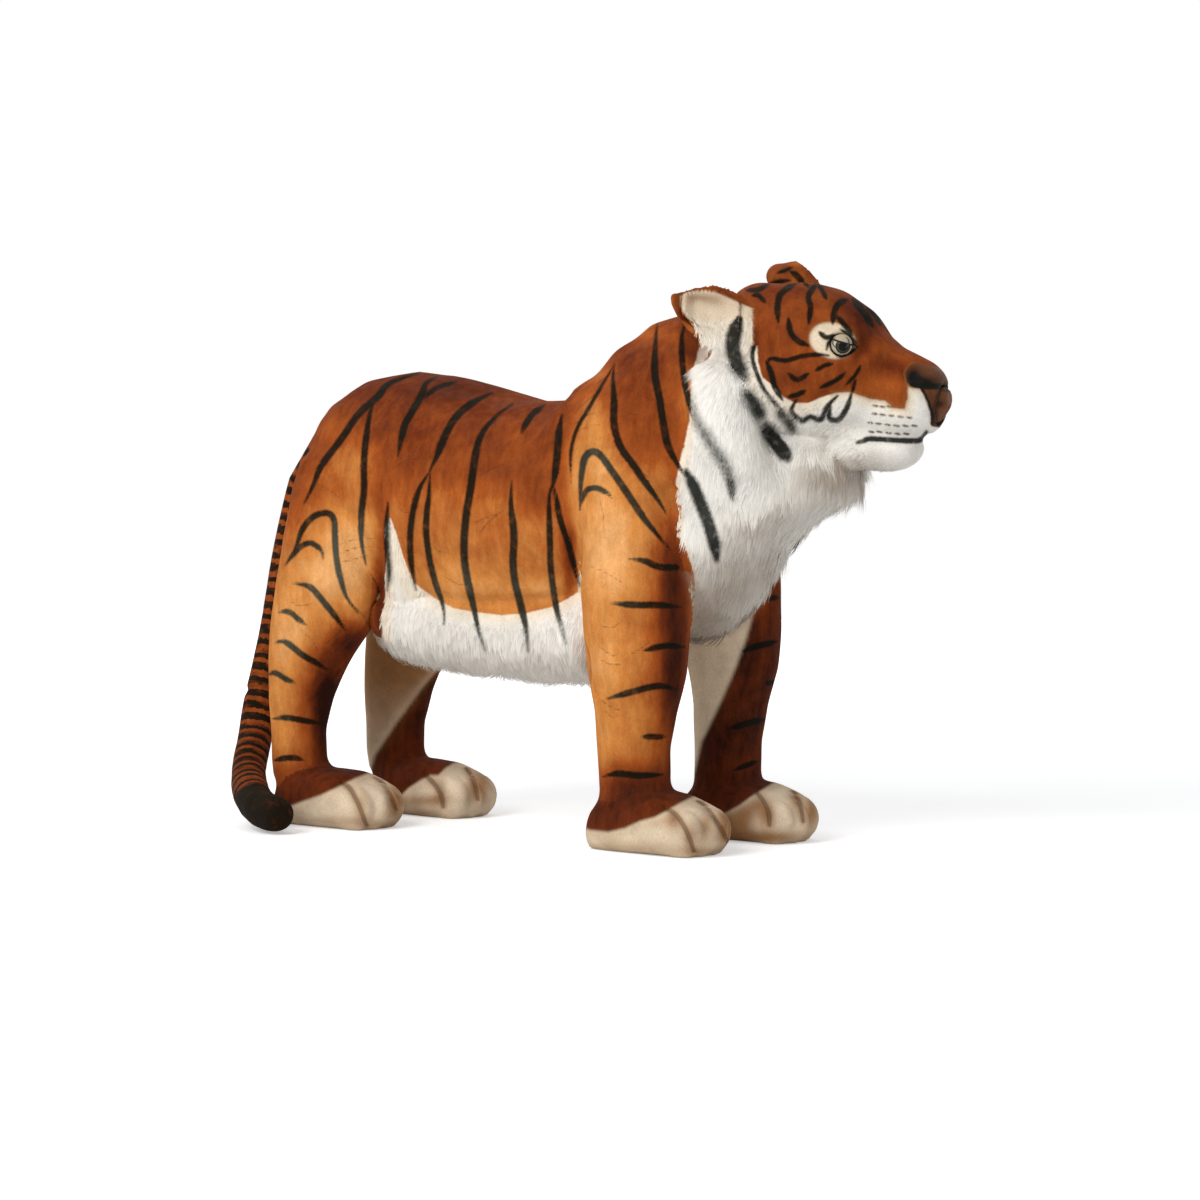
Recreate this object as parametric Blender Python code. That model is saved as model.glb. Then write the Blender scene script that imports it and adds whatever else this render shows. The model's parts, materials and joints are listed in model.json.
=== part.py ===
"""A large standing plush tiger with a steel inner frame, posable tail and folding ears.

Metres, +X to the tiger's front, +Y to its left, +Z up. The tiger is laid out with X = 0 at the
end of its rump and is moved at the end so that its box stands centred on the origin.
"""
import math

import bmesh
import bpy
import numpy
from mathutils import Matrix, Vector

# Clearances
seam_gap = 0.0003
joint_gap = 0.0008
sole_cut = 0.0005

# Torso
hip_height = 0.592
torso_length = 0.652
torso_depth = 0.320
torso_width = 0.284
torso_power = 2.1

# Neck
neck_start_share = 0.709
neck_centre_height = 0.460
neck_reach = 0.215
neck_rise = 0.090
neck_depth = 0.310
neck_width = 0.260
neck_tilt = math.radians(38)

# Head, measured from its pivot on the neck
head_pivot_share = 0.93
head_pivot_rise_share = 1.11
head_turn = math.radians(13)
head_back = 0.020
head_length = 0.225
head_crown = 0.122
head_jaw = 0.060
head_width = 0.200

# Muzzle, chin and nose
muzzle_sunk = 0.055
muzzle_length = 0.112
muzzle_rise = 0.055
muzzle_drop = 0.069
muzzle_width = 0.104
chin_length = 0.105
chin_setback = 0.033
chin_depth = 0.052
chin_width = 0.074
nose_length = 0.0285
nose_height = 0.046
nose_width = 0.046
nose_proud = 0.0022
nose_drop = 0.030

# Eyes
eye_radius = 0.0125
eye_sunk = 0.0065
eye_along_share = 0.78
eye_rise = 0.043

# Ears
ear_length = 0.100
ear_width = 0.078
ear_thickness = 0.010
ear_cup = 0.020
ear_lining_thickness = 0.004
ear_root_radius = 0.0075
ear_root_lift = 0.004
ear_along_share = 0.31
ear_rise = 0.066

# Cheek tufts, chest ruff and belly fur
cheek_tuft_height = 0.150
cheek_tuft_length = 0.090
cheek_tuft_width = 0.060
ruff_height = 0.250
ruff_length = 0.200
ruff_width = 0.230
ruff_chest_height = 0.260
ruff_front_share = 1.204
belly_length = 0.420
belly_start_share = 0.16
belly_width = 0.216
belly_drop = 0.076
belly_slope = 0.020
belly_sink = 0.055

# Legs and paws
leg_track = 0.190
front_leg_share = 0.882
front_leg_top = 0.480
front_leg_length = 0.142
front_leg_width = 0.116
hind_leg_share = 0.121
hind_leg_top = 0.480
hind_leg_length = 0.168
hind_leg_width = 0.124
hind_leg_setback = 0.053
leg_foot_height = 0.050
paw_length = 0.186
paw_width = 0.108
paw_height = 0.073
front_paw_reach = 0.036
hind_paw_reach = 0.0675
toe_count = 4
toe_length = 0.064
toe_height = 0.056
toe_overlap_share = 1.18

# Tail
tail_radius = 0.0228
tail_root_height = 0.515
tail_back = 0.065
tail_side = 0.225
tail_stop_share = 0.66

# Inner frame
frame_tube_radius = 0.008
frame_tube_wall = 0.0015
frame_height = 0.405
frame_tube_overhang = 0.010
foot_plate_radius = 0.026
foot_plate_thickness = 0.004
foot_plate_height = 0.018
neck_bar_length = 0.190
neck_bar_tilt = math.radians(48)

# Facets round each kind of piece
torso_sides = 24
limb_sides = 16
trim_sides = 12
toe_sides = 10
tube_sides = 12
tail_steps = 14
tail_end_steps = 5
tail_tip_steps = 6
dome_angles = (math.radians(12), math.radians(36), math.radians(60))

# Torso sections: along, top, depth, width
torso_shares = (
    (0.000, 0.838, 0.34, 0.34),
    (0.026, 0.895, 0.60, 0.56),
    (0.064, 0.948, 0.78, 0.78),
    (0.141, 0.988, 0.91, 0.91),
    (0.233, 1.000, 0.975, 0.95),
    (0.325, 0.988, 0.978, 0.972),
    (0.432, 0.964, 0.947, 0.986),
    (0.540, 0.939, 0.900, 1.0),
    (0.647, 0.935, 0.880, 1.0),
    (0.755, 0.965, 0.890, 0.958),
    (0.847, 0.985, 0.860, 0.86),
    (0.939, 0.955, 0.66, 0.634),
    (1.000, 0.878, 0.344, 0.352),
)

# Neck sections: forward, up, tilt, depth, width
neck_shares = (
    (0.00, 0.00, 0.26, 0.74, 0.98),
    (0.28, 0.17, 0.53, 0.80, 1.00),
    (0.56, 0.42, 0.79, 0.91, 0.97),
    (0.79, 0.70, 0.92, 0.93, 0.88),
    (1.00, 1.00, 1.00, 0.82, 0.76),
)

# Head sections: along, crown, jaw, width
head_shares = (
    (0.000, 0.74, 0.25, 0.58),
    (0.133, 0.94, 0.67, 0.85),
    (0.311, 0.99, 0.92, 0.98),
    (0.489, 1.00, 1.00, 1.00),
    (0.667, 0.915, 1.00, 0.91),
    (0.822, 0.720, 0.92, 0.76),
    (0.911, 0.490, 0.83, 0.63),
    (1.000, 0.360, 0.75, 0.46),
)

# Muzzle sections: along, rise, drop, width
muzzle_shares = (
    (0.000, 1.00, 0.87, 0.94),
    (0.295, 0.96, 1.00, 1.00),
    (0.490, 0.80, 1.00, 0.98),
    (0.690, 0.58, 0.97, 0.91),
    (0.840, 0.41, 0.88, 0.76),
    (0.930, 0.24, 0.74, 0.57),
    (0.980, 0.07, 0.56, 0.34),
)

# Chin sections: along, top below the lip, depth, width
chin_shares = (
    (0.000, -0.40, 0.80, 0.80),
    (0.270, -0.34, 0.98, 1.00),
    (0.545, -0.32, 1.00, 1.00),
    (0.773, -0.30, 0.96, 0.92),
    (0.927, -0.22, 0.72, 0.74),
    (1.000, -0.10, 0.40, 0.44),
)

# Nose sections: along, height above its middle, height, width
nose_shares = (
    (0.00, 0.00, 0.88, 0.86),
    (0.49, 0.02, 1.00, 1.00),
    (0.82, 0.10, 0.86, 0.84),
    (1.00, 0.18, 0.50, 0.50),
)

# Ear sections: along, width, thickness, cup
ear_shares = (
    (-0.072, 0.58, 0.34, 0.00),
    (0.000, 0.76, 1.00, 0.00),
    (0.120, 0.92, 1.00, 0.22),
    (0.300, 1.00, 1.00, 0.70),
    (0.500, 0.97, 0.95, 1.00),
    (0.700, 0.78, 0.90, 0.95),
    (0.870, 0.48, 0.80, 0.60),
    (1.000, 0.16, 0.50, 0.15),
)
ear_lining_shares = (
    (0.160, 0.60, 0.80, 0.35),
    (0.300, 0.78, 1.00, 0.70),
    (0.500, 0.78, 1.00, 1.00),
    (0.700, 0.64, 0.90, 0.95),
    (0.840, 0.38, 0.60, 0.65),
)

# Which way each ear points and how its root runs, in the head's frame
right_ear_shares = (Vector((-0.676, -0.687, 0.270)), Vector((-0.080, -0.620, -0.780)))
left_ear_shares = (Vector((-0.300, 0.360, 0.880)), Vector((-0.930, 0.300, -0.250)))

# Cheek tuft sections: down, forward, outward, length, width
cheek_tuft_shares = (
    (0.00, 0.10, 0.70, 0.30, 0.30),
    (0.22, 0.04, 0.86, 0.78, 0.72),
    (0.45, 0.02, 0.92, 1.00, 0.95),
    (0.68, 0.12, 0.86, 1.00, 1.00),
    (0.88, 0.34, 0.70, 0.72, 0.76),
    (1.00, 0.50, 0.56, 0.26, 0.30),
)

# Chest ruff sections: up, front, length, width, towards the side the head is turned to
ruff_shares = (
    (0.00, -0.240, 0.50, 0.44, 0.00),
    (0.13, -0.190, 0.68, 0.74, 0.00),
    (0.31, -0.150, 0.83, 0.92, 0.00),
    (0.47, -0.118, 0.89, 1.00, 0.02),
    (0.62, -0.060, 0.98, 0.92, 0.06),
    (0.72, 0.030, 1.00, 0.74, 0.12),
    (0.86, 0.020, 0.94, 0.60, 0.16),
    (1.00, -0.030, 0.70, 0.46, 0.18),
)

# Belly fur sections: along, drop, width
belly_shares = (
    (0.00, 0.20, 0.50),
    (0.06, 0.70, 0.80),
    (0.20, 0.92, 0.96),
    (0.45, 1.00, 1.00),
    (0.70, 1.00, 1.00),
    (0.90, 0.90, 0.94),
    (1.00, 0.40, 0.70),
)

# Leg sections: height, forward of the shoulder or hip, length, width
front_leg_shares = (
    (0.00, -0.010, 0.60, 0.70),
    (0.08, -0.010, 0.61, 0.72),
    (0.17, -0.030, 0.60, 0.74),
    (0.27, -0.020, 0.66, 0.80),
    (0.38, -0.005, 0.83, 0.90),
    (0.50, 0.000, 0.93, 0.97),
    (0.62, 0.000, 0.98, 1.00),
    (0.76, -0.020, 1.00, 1.00),
    (0.90, -0.080, 0.96, 0.86),
    (1.00, -0.120, 0.80, 0.60),
)
hind_leg_shares = (
    (0.00, -0.86, 0.48, 0.62),
    (0.08, -1.00, 0.45, 0.58),
    (0.17, -1.00, 0.45, 0.58),
    (0.27, -0.90, 0.54, 0.66),
    (0.37, -0.70, 0.67, 0.76),
    (0.48, -0.46, 0.80, 0.88),
    (0.62, -0.16, 0.95, 1.00),
    (0.76, 0.02, 1.00, 1.00),
    (0.90, 0.10, 0.93, 0.84),
    (1.00, 0.14, 0.74, 0.54),
)

# Paw sections: along, height, width
paw_shares = (
    (0.000, 0.42, 0.42),
    (0.060, 0.70, 0.66),
    (0.200, 0.95, 0.84),
    (0.420, 1.00, 0.95),
    (0.620, 0.96, 1.00),
    (0.780, 0.82, 0.96),
    (0.880, 0.60, 0.80),
)
toe_set_shares = (0.80, 0.84, 0.83, 0.77)

# The tail's route: back, side and height
tail_route_shares = (
    (0.00, 0.00, 1.000),
    (-0.27, 0.00, 0.940),
    (-0.46, 0.00, 0.872),
    (-0.63, 0.00, 0.777),
    (-0.79, -0.03, 0.650),
    (-0.90, -0.09, 0.524),
    (-0.97, -0.20, 0.398),
    (-0.96, -0.31, 0.301),
    (-0.80, -0.43, 0.204),
    (-0.40, -0.61, 0.132),
    (0.315, -0.80, 0.082),
    (1.08, -0.94, 0.055),
    (1.63, -1.00, 0.0495),
)
tail_curl_knot = 7
tail_tip_knot = 9
tail_tip_swell_share = 1.06

# Colours, roughness and metallic value
orange_plush = ("orange_plush", (0.42, 0.13, 0.035), 0.95, 0.0)
white_pile = ("white_pile", (0.82, 0.78, 0.72), 1.0, 0.0)
cream_plush = ("cream_plush", (0.75, 0.63, 0.46), 0.95, 0.0)
black_plush = ("black_plush", (0.012, 0.016, 0.014), 0.95, 0.0)
brown_leather = ("brown_leather", (0.155, 0.055, 0.032), 0.55, 0.0)
eye_gloss = ("eye_gloss", (0.045, 0.065, 0.045), 0.12, 0.0)
frame_steel = ("frame_steel", (0.35, 0.36, 0.38), 0.4, 1.0)

forward = Vector((1, 0, 0))
leftward = Vector((0, 1, 0))
upward = Vector((0, 0, 1))


def clear_scene():
    for item in list(bpy.data.objects):
        bpy.data.objects.remove(item, do_unlink=True)


def get_material(look):
    name, colour, roughness, metallic = look
    material = bpy.data.materials.get(name)
    if material is None:
        material = bpy.data.materials.new(name)
        material.use_nodes = True
        shader = material.node_tree.nodes["Principled BSDF"]
        shader.inputs["Base Color"].default_value = (*colour, 1)
        shader.inputs["Roughness"].default_value = roughness
        shader.inputs["Metallic"].default_value = metallic
    return material


def add_empty(name, location, parent=None):
    empty = bpy.data.objects.new(name, None)
    bpy.context.collection.objects.link(empty)
    empty.parent = parent
    empty.location = location
    return empty


def add_object(name, bm, look, parent):
    bmesh.ops.recalc_face_normals(bm, faces=bm.faces)
    mesh = bpy.data.meshes.new(name)
    bm.to_mesh(mesh)
    bm.free()
    item = bpy.data.objects.new(name, mesh)
    bpy.context.collection.objects.link(item)
    item.parent = parent
    if look is None:
        item.hide_render = True
        item.display_type = "WIRE"
        return item
    mesh.materials.append(get_material(look))
    mesh.shade_smooth()
    return item


def combine(target, operation, tools):
    for tool in tools:
        step = target.modifiers.new(operation.lower() + "_" + tool.name, "BOOLEAN")
        step.operation = operation
        step.solver = "EXACT"
        step.object = tool


def rounded(value, power):
    return math.copysign(abs(value) ** (2 / power), value)


def add_ring(bm, sides, centre, across, rise, half_width, half_up, half_down, power):
    loop = bmesh.ops.create_circle(bm, cap_ends=False, segments=sides, radius=1)["verts"]
    for vert in loop:
        side = rounded(vert.co.x, power)
        height = rounded(vert.co.y, power)
        half = half_up if height > 0 else half_down
        vert.co = centre + across * (half_width * side) + rise * (half * height)
    return loop


def loop_edges(loop):
    members = set(loop)
    return [edge for edge in {e for v in loop for e in v.link_edges} if members.issuperset(edge.verts)]


def skin_loops(bm, loops, grow=0.0):
    """Bridge the loops, cap both ends and, for a cutter, push the skin out by its clearance."""
    for near, far in zip(loops, loops[1:]):
        bmesh.ops.bridge_loops(bm, edges=loop_edges(near) + loop_edges(far))
    bm.faces.new(loops[0])
    bm.faces.new(loops[-1])
    bmesh.ops.triangulate(bm, faces=bm.faces)
    bmesh.ops.recalc_face_normals(bm, faces=bm.faces)
    bm.normal_update()
    shifts = [(vert, vert.normal * (vert.calc_shell_factor() * grow)) for vert in bm.verts]
    for vert, shift in shifts:
        vert.co += shift


def add_form(name, build_loops, look, parent, grow=0.0, origin=None):
    bm = bmesh.new()
    skin_loops(bm, build_loops(bm), grow)
    if origin is not None:
        bmesh.ops.translate(bm, verts=bm.verts, vec=-origin)
    return add_object(name, bm, look, parent)


def add_soft(name, build_loops, look, parent, origin=None):
    """Make a stuffed piece and the slightly larger copy of it that cuts its neighbours."""
    piece = add_form(name, build_loops, look, parent, origin=origin)
    cutter = add_form(name + "_cutter", build_loops, None, parent, seam_gap, origin)
    return piece, cutter


def station(share):
    return torso_length * share


# Torso
def torso_loops(bm):
    loops = []
    for along, top, depth, width in torso_shares:
        half = torso_depth * depth / 2
        centre = Vector((station(along), 0, hip_height * top - half))
        half_width = torso_width * width / 2
        loops.append(add_ring(bm, torso_sides, centre, leftward, upward, half_width, half, half, torso_power))
    return loops


# Neck
def neck_loops(bm):
    loops = []
    for ahead, up, tilt, depth, width in neck_shares:
        centre_x = station(neck_start_share) + neck_reach * ahead
        centre = Vector((centre_x, 0, neck_centre_height + neck_rise * up))
        angle = neck_tilt * tilt
        rise = Vector((-math.sin(angle), 0, math.cos(angle)))
        half = neck_depth * depth / 2
        half_width = neck_width * width / 2
        loops.append(add_ring(bm, torso_sides, centre, leftward, rise, half_width, half, half, torso_power))
    return loops


def neck_end():
    end_x = station(neck_start_share) + neck_reach * head_pivot_share
    return Vector((end_x, 0, neck_centre_height + neck_rise * head_pivot_rise_share))


# Head, muzzle, chin and nose, in the head's frame
def profile_loops(bm, sides, start, length, table, rise_size, drop_size, width_size):
    loops = []
    for along, rise, drop, width in table:
        top = rise_size * rise
        bottom = -drop_size * drop
        half = (top - bottom) / 2
        centre = Vector((start + length * along, 0, bottom + half))
        half_width = width_size * width / 2
        loops.append(add_ring(bm, sides, centre, leftward, upward, half_width, half, half, torso_power))
    return loops


def head_loops(bm):
    return profile_loops(
        bm, torso_sides, -head_back, head_length, head_shares, head_crown, head_jaw, head_width
    )


def muzzle_start():
    return head_length - head_back - muzzle_sunk


def muzzle_loops(bm):
    return profile_loops(
        bm, limb_sides, muzzle_start(), muzzle_length, muzzle_shares, muzzle_rise, muzzle_drop, muzzle_width
    )


def chin_loops(bm):
    loops = []
    start = muzzle_start() + muzzle_length - chin_setback - chin_length
    for along, lower, depth, width in chin_shares:
        half = chin_depth * depth / 2
        top = -muzzle_drop - seam_gap - chin_depth * lower
        centre = Vector((start + chin_length * along, 0, top - half))
        half_width = chin_width * width / 2
        loops.append(add_ring(bm, limb_sides, centre, leftward, upward, half_width, half, half, torso_power))
    return loops


def nose_loops(bm):
    loops = []
    start = muzzle_start() + muzzle_length + nose_proud - nose_length
    for along, up, height, width in nose_shares:
        half = nose_height * height / 2
        centre = Vector((start + nose_length * along, 0, nose_height * up - nose_drop))
        half_width = nose_width * width / 2
        loops.append(add_ring(bm, trim_sides, centre, leftward, upward, half_width, half, half, torso_power))
    return loops


def head_side(along, height):
    """Half the head's width at a place along it and a height over its pivot."""
    places = [row[0] for row in head_shares]
    top = head_crown * numpy.interp(along, places, [row[1] for row in head_shares])
    bottom = -head_jaw * numpy.interp(along, places, [row[2] for row in head_shares])
    width = head_width * numpy.interp(along, places, [row[3] for row in head_shares])
    middle = (top + bottom) / 2
    level = min(abs(height - middle) / (top - middle), 1)
    return width / 2 * (1 - level**torso_power) ** (1 / torso_power)


def head_seat(along, height, side, proud):
    """A point that stands proud of the head's side, and the way out from the head there."""
    middle = (head_crown - head_jaw) / 2
    width = head_side(along, height)
    outward = Vector((0, side * width / head_width, (height - middle) / (head_crown + head_jaw))).normalized()
    point = Vector((head_length * along - head_back, side * width, height)) + outward * proud
    return point, outward


# Eyes
def add_eye(name, side, parent):
    centre, outward = head_seat(eye_along_share, eye_rise, side, -eye_sunk)
    made = []
    for piece_name, look, grow in ((name, eye_gloss, 0.0), (name + "_cutter", None, seam_gap)):
        bm = bmesh.new()
        bmesh.ops.create_uvsphere(bm, u_segments=limb_sides, v_segments=trim_sides, radius=eye_radius + grow)
        eye = add_object(piece_name, bm, look, parent)
        eye.location = centre
        eye.rotation_mode = "QUATERNION"
        eye.rotation_quaternion = outward.to_track_quat("Z", "Y")
        made.append(eye)
    return made


# Ears, in their own frame: X along the root, Y out of the cup, Z to the tip
def ear_frame(pointing, root_run, side):
    tip = pointing.normalized()
    across = (root_run - tip * root_run.dot(tip)).normalized() * -side
    face = tip.cross(across)
    return Matrix((across, face, tip)).transposed().to_quaternion()


def leaf_loops(bm, table, thickness, offset):
    loops = []
    half_count = trim_sides // 2
    for along, width, thick, cup in table:
        half_width = ear_width * width / 2
        depth = ear_cup * cup
        base = ear_length * along
        circle = bmesh.ops.create_circle(bm, cap_ends=False, segments=2 * half_count, radius=1)["verts"]
        for vert in circle:
            spread = vert.co.x
            bulge = vert.co.y
            hollow = depth * (spread * width) ** 2 - depth
            vert.co = Vector((half_width * spread, hollow + offset + thickness * thick * bulge / 2, base))
        loops.append(circle)
    return loops


def ear_loops(bm):
    return leaf_loops(bm, ear_shares, ear_thickness, 0.0)


def ear_lining_loops(bm):
    offset = (ear_thickness + ear_lining_thickness) / 2
    return leaf_loops(bm, ear_lining_shares, ear_lining_thickness, offset)


def add_ear(name, side, pose, parent):
    pointing, root_run = pose
    seat, outward = head_seat(ear_along_share, ear_rise, side, ear_root_lift)
    hinge = add_empty(name + "_hinge", seat, parent)
    hinge.rotation_mode = "QUATERNION"
    hinge.rotation_quaternion = ear_frame(pointing, root_run, side)
    ear, ear_cutter = add_soft(name, ear_loops, orange_plush, hinge)
    lining = add_form(name.replace("ear", "ear_lining"), ear_lining_loops, cream_plush, hinge)
    combine(lining, "DIFFERENCE", [ear_cutter])
    groove_radius = (ear_root_radius + seam_gap) / math.cos(math.pi / limb_sides)
    bm = bmesh.new()
    bmesh.ops.create_cone(
        bm,
        cap_ends=True,
        segments=limb_sides,
        radius1=groove_radius,
        radius2=groove_radius,
        depth=ear_width,
        matrix=Matrix.Rotation(math.radians(90), 4, "Y"),
    )
    groove = add_object(name + "_groove", bm, None, hinge)
    return hinge, groove


# Cheek tufts, chest ruff and belly fur
def cheek_tuft_loops(side):
    def build(bm):
        loops = []
        top = -head_back
        for down, ahead, outward, length, width in cheek_tuft_shares:
            height = head_crown / 2 - cheek_tuft_height * down + top
            centre = Vector((cheek_tuft_length * ahead, side * head_width / 2 * outward, height))
            half = cheek_tuft_length * length / 2
            half_width = cheek_tuft_width * width / 2
            loops.append(add_ring(bm, limb_sides, centre, forward, leftward, half, half_width, half_width, 2))
        return loops

    return build


def ruff_loops(bm):
    loops = []
    for up, front, length, width, turned in ruff_shares:
        half = ruff_length * length / 2
        front_x = station(ruff_front_share) + station(front)
        centre = Vector((front_x - half, ruff_width * turned, ruff_chest_height + ruff_height * up))
        half_width = ruff_width * width / 2
        loops.append(add_ring(bm, torso_sides, centre, leftward, forward, half_width, half, half, torso_power))
    return loops


def belly_loops(bm):
    loops = []
    start = station(belly_start_share)
    for along, drop, width in belly_shares:
        under = hip_height - torso_depth
        bottom = under - (belly_drop - belly_slope * (1 - along)) * drop
        top = under + belly_sink
        half = (top - bottom) / 2
        centre = Vector((start + belly_length * along, 0, bottom + half))
        half_width = belly_width * width / 2
        loops.append(add_ring(bm, torso_sides, centre, leftward, upward, half_width, half, half, torso_power))
    return loops


# Legs
def leg_loops(side, place, top_height, length_size, width_size, setback, table):
    def build(bm):
        loops = []
        for height, ahead, length, width in table:
            level = leg_foot_height + (top_height - leg_foot_height) * height
            centre = Vector((station(place) + setback * ahead, side * leg_track / 2, level))
            half = length_size * length / 2
            half_width = width_size * width / 2
            loops.append(add_ring(bm, limb_sides, centre, forward, leftward, half, half_width, half_width, 2))
        return loops

    return build


# Paws, with four stitched toes and a flat sole
def paw_loops(centre):
    def build(bm):
        loops = []
        for along, height, width in paw_shares:
            half = (paw_height * height + sole_cut) / 2
            middle = centre + Vector((paw_length * (along - 1 / 2), 0, half - sole_cut))
            half_width = paw_width * width / 2
            loops.append(add_ring(bm, limb_sides, middle, leftward, upward, half_width, half, half, 3))
        return loops

    return build


def add_toe(name, centre, index, parent):
    pitch = paw_width / toe_count
    half_height = (toe_height + sole_cut) / 2
    offset = (index - (toe_count - 1) / 2) * pitch * (1 - (toe_overlap_share - 1))
    bm = bmesh.new()
    bmesh.ops.create_uvsphere(bm, u_segments=toe_sides, v_segments=toe_sides // 2 + 1, radius=1)
    size = Vector((toe_length / 2, pitch * toe_overlap_share / 2, half_height))
    bmesh.ops.scale(bm, verts=bm.verts, vec=size)
    front = paw_length * (toe_set_shares[index] - 1 / 2)
    bmesh.ops.translate(bm, verts=bm.verts, vec=centre + Vector((front, offset, half_height - sole_cut)))
    return add_object(name, bm, None, parent)


def add_paw(name, centre, parent, floor, leg_cutter):
    paw = add_form(name, paw_loops(centre), cream_plush, parent)
    toes = [add_toe(f"{name}_toe_{index + 1}", centre, index, parent) for index in range(toe_count)]
    combine(paw, "UNION", toes)
    combine(paw, "DIFFERENCE", [floor, leg_cutter])
    return paw


def add_floor(parent):
    bm = bmesh.new()
    size = Vector((2 * torso_length, 2 * torso_width, hip_height))
    bmesh.ops.create_cube(bm, size=1)
    bmesh.ops.scale(bm, verts=bm.verts, vec=size)
    floor = add_object("floor_cutter", bm, None, parent)
    floor.location = Vector((torso_length / 2, 0, -hip_height / 2))
    return floor


# Tail, a smooth curve through its route
def route_point(place):
    """A point on the curve through the tail's route; whole numbers are its own points."""
    last = len(tail_route_shares) - 1
    knots = [
        Vector((tail_back * back, tail_side * side, tail_root_height * height))
        for back, side, height in tail_route_shares
    ]
    index = min(int(place), last - 1)
    t = place - index
    before = knots[max(index - 1, 0)]
    start = knots[index]
    end = knots[index + 1]
    after = knots[min(index + 2, last)]
    leave = (end - before) / 2
    arrive = (after - start) / 2
    return (
        start * (2 * t**3 - 3 * t**2 + 1)
        + leave * (t**3 - 2 * t**2 + t)
        + end * (3 * t**2 - 2 * t**3)
        + arrive * (t**3 - t**2)
    )


def route_run(place):
    step_share = 0.01
    last = len(tail_route_shares) - 1
    start = route_point(max(place - step_share, 0))
    end = route_point(min(place + step_share, last))
    return (end - start).normalized()


def tail_ring(bm, centre, run, radius):
    across = run.cross(leftward).normalized()
    rise = across.cross(run)
    return add_ring(bm, limb_sides, centre, across, rise, radius, radius, radius, 2)


def dome_loops(bm, centre, run, radius, way):
    """The rings of a half ball at one end of a tail piece, from its pole to its rim."""
    loops = []
    for angle in dome_angles:
        reach = radius * math.cos(angle) * way
        loops.append(tail_ring(bm, centre + run * reach, run, radius * math.sin(angle)))
    return loops


def tail_loops(bm):
    start = route_point(0)
    loops = dome_loops(bm, start, route_run(0), tail_radius, -1)
    end = tail_curl_knot
    curl = route_point(end)
    for index in range(tail_steps):
        place = end * index / tail_steps
        if (route_point(place) - curl).length > tail_radius:
            loops.append(tail_ring(bm, route_point(place), route_run(place), tail_radius))
    stop = curl - route_run(end) * (tail_radius * tail_stop_share)
    loops.append(tail_ring(bm, stop, route_run(end), tail_radius))
    return loops


def tail_end_loops(bm):
    curl = route_point(tail_curl_knot)
    loops = dome_loops(bm, curl, route_run(tail_curl_knot), tail_radius, -1)
    for index in range(tail_end_steps + 1):
        place = tail_curl_knot + (tail_tip_knot - tail_curl_knot) * index / tail_end_steps
        loops.append(tail_ring(bm, route_point(place), route_run(place), tail_radius))
    return loops


def tail_tip_loops(bm):
    run = route_run(tail_tip_knot)
    loops = [tail_ring(bm, route_point(tail_tip_knot) + run * seam_gap, run, tail_radius)]
    last = len(tail_route_shares) - 1
    for index in range(1, tail_tip_steps + 1):
        part_way = index / tail_tip_steps
        place = tail_tip_knot + (last - tail_tip_knot) * part_way
        radius = tail_radius * (1 + (tail_tip_swell_share - 1) * math.sin(math.pi * part_way))
        loops.append(tail_ring(bm, route_point(place), route_run(place), radius))
    loops += reversed(dome_loops(bm, route_point(last), route_run(last), tail_radius, 1))
    return loops


def add_ball(name, radius, parent):
    bm = bmesh.new()
    bmesh.ops.create_uvsphere(bm, u_segments=limb_sides, v_segments=trim_sides, radius=radius)
    return add_object(name, bm, None, parent)


# Inner frame
def add_tube(name, start, end, parent):
    """A straight steel tube, and the rod that cuts its channel through the stuffing."""
    run = end - start
    turn = run.to_track_quat("Z", "Y").to_matrix().to_4x4()
    bm = bmesh.new()
    inner = frame_tube_radius - frame_tube_wall
    corners = ((inner, 0), (frame_tube_radius, 0), (frame_tube_radius, run.length), (inner, run.length))
    profile = [bm.verts.new((radius, 0, height)) for radius, height in corners]
    for near, far in zip(profile, profile[1:] + profile[:1]):
        bm.edges.new((near, far))
    bmesh.ops.spin(
        bm,
        geom=list(bm.verts) + list(bm.edges),
        cent=(0, 0, 0),
        axis=upward,
        angle=math.tau,
        steps=tube_sides,
        use_merge=True,
    )
    tube = add_object(name, bm, frame_steel, parent)
    bm = bmesh.new()
    reach = run.length + 2 * seam_gap
    bmesh.ops.create_cone(
        bm,
        cap_ends=True,
        segments=tube_sides,
        radius1=frame_tube_radius + seam_gap,
        radius2=frame_tube_radius + seam_gap,
        depth=reach,
    )
    bmesh.ops.translate(bm, verts=bm.verts, vec=upward * (reach / 2 - seam_gap))
    channel = add_object(name + "_channel", bm, None, parent)
    for item in (tube, channel):
        item.location = start
        item.rotation_mode = "QUATERNION"
        item.rotation_quaternion = turn.to_quaternion()
    return channel


def add_plate(name, centre, parent):
    """A round foot plate, and the pocket it sits in, which is returned."""
    for piece_name, look, grow in ((name, frame_steel, 0.0), (name + "_pocket", None, seam_gap)):
        bm = bmesh.new()
        bmesh.ops.create_cone(
            bm,
            cap_ends=True,
            segments=limb_sides,
            radius1=foot_plate_radius + grow,
            radius2=foot_plate_radius + grow,
            depth=foot_plate_thickness + 2 * grow,
        )
        item = add_object(piece_name, bm, look, parent)
        item.location = centre
    return item


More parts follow.
